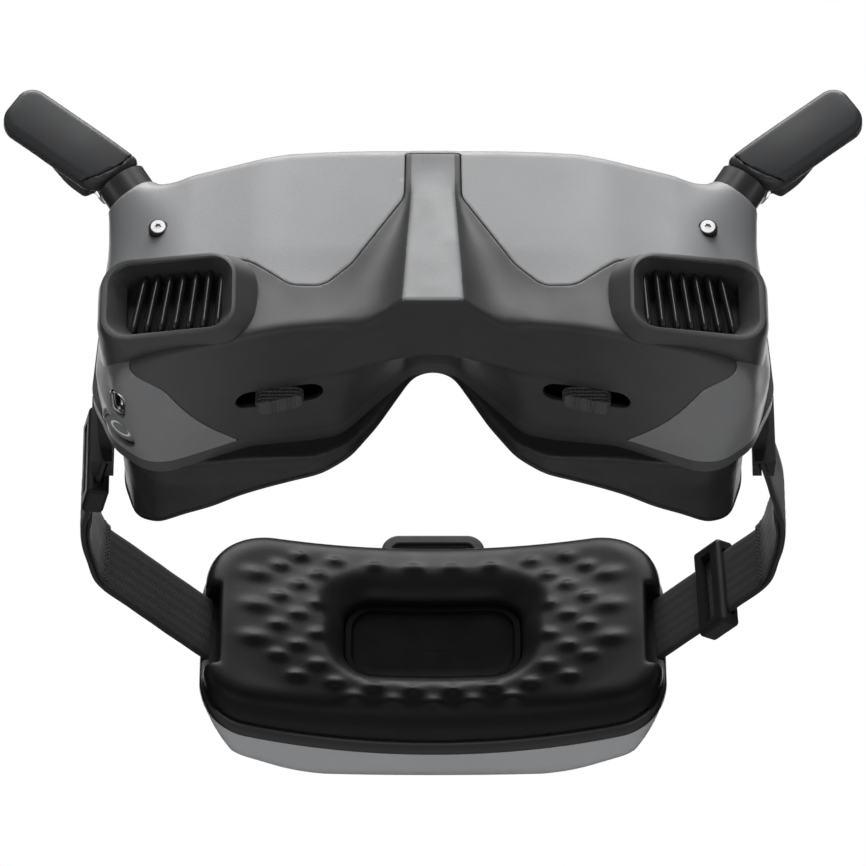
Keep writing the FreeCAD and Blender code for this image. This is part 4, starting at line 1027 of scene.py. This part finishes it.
def strap_line(start=0.0, end=None, step=1.0):
    """Middle line of the strap on the wearer's left, as points at even steps from one length to another."""
    path = round_path([(x, y, r) for x, y, r in STRAP_PATH], 0.8, closed=False)
    gaps = np.linalg.norm(np.diff(path, axis=0), axis=1)
    marks = np.concatenate([[0], np.cumsum(gaps)])
    end = marks[-1] if end is None else end
    at = np.linspace(start, end, max(3, int((end - start) / step)))
    x, y = np.interp(at, marks, path[:, 0]), np.interp(at, marks, path[:, 1])
    for _ in range(6):
        x[1:-1] = (x[:-2] + 2 * x[1:-1] + x[2:]) / 4
        y[1:-1] = (y[:-2] + 2 * y[1:-1] + y[2:]) / 4
    return at, np.stack([x, y, strap_slope(y)], axis=1), marks[-1]


def ribbon(name, s, start, end, lift, width, thick, look, body, replaced=(), teeth=False):
    """A flat woven strip beside the strap's middle line, lift mm outside it, with rounded selvages."""
    at, line, _ = strap_line(start, end)
    ahead = np.gradient(line, axis=0)
    ahead /= np.linalg.norm(ahead, axis=1, keepdims=True)
    up = np.array([0, 0, 1.0]) - ahead * ahead[:, 2:3]
    up /= np.linalg.norm(up, axis=1, keepdims=True)
    out = np.cross(ahead, up)
    half, t = width / 2, thick / 2
    across = np.linspace(-half, half, 24)
    profile = [(a, t * (1 - 0.5 * (abs(a) / half) ** 12) + 0.05 * math.cos(a * 2.2)) for a in across]
    profile += [(a, -b) for a, b in reversed(profile)]
    rings = []
    for k, p in enumerate(line):
        wave = 0.12 * math.sin(at[k] * 0.21) + 0.08 * math.sin(at[k] * 0.53 + 1)
        edge = 0.18 * math.sin(at[k] * 2.4) if teeth else 0.0
        rings.append(np.array([p + up[k] * (a * (1 + edge / half)) + out[k] * (b + lift + wave * 0.4)
                               for a, b in profile]))
    rings = [r * np.array([s, 1, 1]) for r in rings]
    pts, faces = loft(rings)
    if s < 0:
        faces = [f[::-1] for f in faces]
    obj = piece(name, pts, faces, LOOKS[look], body, replaced)
    count = len(profile)
    uv = obj.data.uv_layers.new(name="strip")
    for loop in obj.data.loops:
        row, column = divmod(loop.vertex_index, count)
        uv.data[loop.index].uv = (at[row], profile[column][0])
    sharp_by_angle(obj, 60)
    return obj


def stitches(name, s, where, lift, width):
    """A row of short raised stitches across the strap."""
    at, line, _ = strap_line(where - 1, where + 1, 0.5)
    middle = line[len(line) // 2]
    ahead = unit(line[-1] - line[0])
    up = unit(np.array([0, 0, 1.0]) - ahead * ahead[2])
    out = np.cross(ahead, up)
    pts, faces = [], []
    count = int(width / 1.15)
    for k in range(count):
        a = -width / 2 + 1.0 + (width - 2.0) * k / (count - 1)
        start = middle + up * (a - 0.42) + out * lift - ahead * 0.25
        end = middle + up * (a + 0.42) + out * lift + ahead * 0.25
        row = np.array([start, (start + end) / 2 + out * 0.16, end])
        p, f = tube(row, 0.24, np.repeat([out], 3, 0), 6)
        add_part(pts, faces, (p * np.array([s, 1, 1]), f), s < 0)
    piece(name, pts, faces, LOOKS["webbing"], "headband")


def straps():
    _, _, total = strap_line()
    for side, s in SIDES.items():
        ribbon(f"strap_web_{side}", s, 0.3, total - 0.8, 0, STRAP_W - 0.4, STRAP_T - 0.3, "webbing",
               "headband", [f"strap_{side}"])
        ribbon(f"strap_fold_{side}", s, 32.0, 66.5, -STRAP_T / 2 - 0.45, STRAP_W - 1.0, 0.95, "webbing",
               "headband", teeth=True)
        for k, at in enumerate((65.4, 63.7)):
            stitches(f"strap_stitch_{side}_{k}", s, at, -STRAP_T / 2 - 0.95, STRAP_W - 1.2)


face_cushion()
head_pad()
battery_pack()
straps()

# ---------------------------------------------------------------- light, floor and camera
AIM = Vector((0, -0.0545, -0.0452))
LOOK = Vector((0, 0.8829, 0.4695))
camera = bpy.data.objects.new("camera", bpy.data.cameras.new("camera"))
bpy.context.scene.collection.objects.link(camera)
camera.location = AIM - LOOK * 1.2
camera.rotation_euler = LOOK.to_track_quat("-Z", "Y").to_euler()
camera.data.lens = 205.9
camera.data.sensor_width = 36.0
camera.data.clip_end = 60
bpy.context.scene.camera = camera


def floor():
    """A pale floor far below the goggles, evenly lit, and a nearer sheet, out of sight, that bounces light up."""
    for name, z, half in (("floor", -3.6, 25), ("floor_bounce", -0.8, 9)):
        mesh = bpy.data.meshes.new(name)
        corners = [(-half, -half, z), (half, -half, z), (half, half, z), (-half, half, z)]
        mesh.from_pydata(corners, [], [(0, 1, 2, 3)])
        obj = bpy.data.objects.new(name, mesh)
        bpy.context.scene.collection.objects.link(obj)
        look = material(name, (0.5, 0.5, 0.5), 0.9, grain=300, tone=0.01, strength=0.05)
        mesh.materials.append(look)
        if name == "floor":
            shader = look.node_tree.nodes["Principled BSDF"]
            shader.inputs["Emission Color"].default_value = (0.72, 0.72, 0.72, 1)
            shader.inputs["Emission Strength"].default_value = 1.0
            obj.visible_diffuse = obj.visible_glossy = obj.visible_shadow = False
        else:
            obj.visible_camera = False


def area_light(name, at, aim, size, power, size_y=None):
    data = bpy.data.lights.new(name, "AREA")
    data.shape = "RECTANGLE"
    data.size, data.size_y = size, size_y or size
    data.energy = power
    obj = bpy.data.objects.new(name, data)
    bpy.context.scene.collection.objects.link(obj)
    obj.location = at
    obj.rotation_euler = (Vector(aim) - Vector(at)).to_track_quat("-Z", "Y").to_euler()
    return obj


floor()
area_light("top", (0, -0.35, 1.15), (0, 0, 0), 1.1, 36, 0.9)
area_light("front_high", (0, -1.7, 0.9), (0, 0, 0), 0.8, 10, 0.5)
area_light("low_front", (0, -0.75, -0.62), (0, 0, -0.02), 1.0, 2.0, 0.5)
area_light("back_high", (0, 1.6, 0.8), (0, 0, 0), 2.0, 16, 0.8)
for s in (-1, 1):
    area_light(f"side_{s}", (1.5 * s, -0.5, -0.1), (0, 0, 0), 0.5, 2.5, 0.9)
world = bpy.data.worlds.new("studio")
bpy.context.scene.world = world
world.use_nodes = True
world.node_tree.nodes["Background"].inputs["Color"].default_value = (1, 1, 1, 1)
world.node_tree.nodes["Background"].inputs["Strength"].default_value = 1.0
world.cycles_visibility.diffuse = False
world.cycles_visibility.glossy = False
world.cycles_visibility.transmission = False
bpy.context.scene.view_settings.view_transform = "Standard"
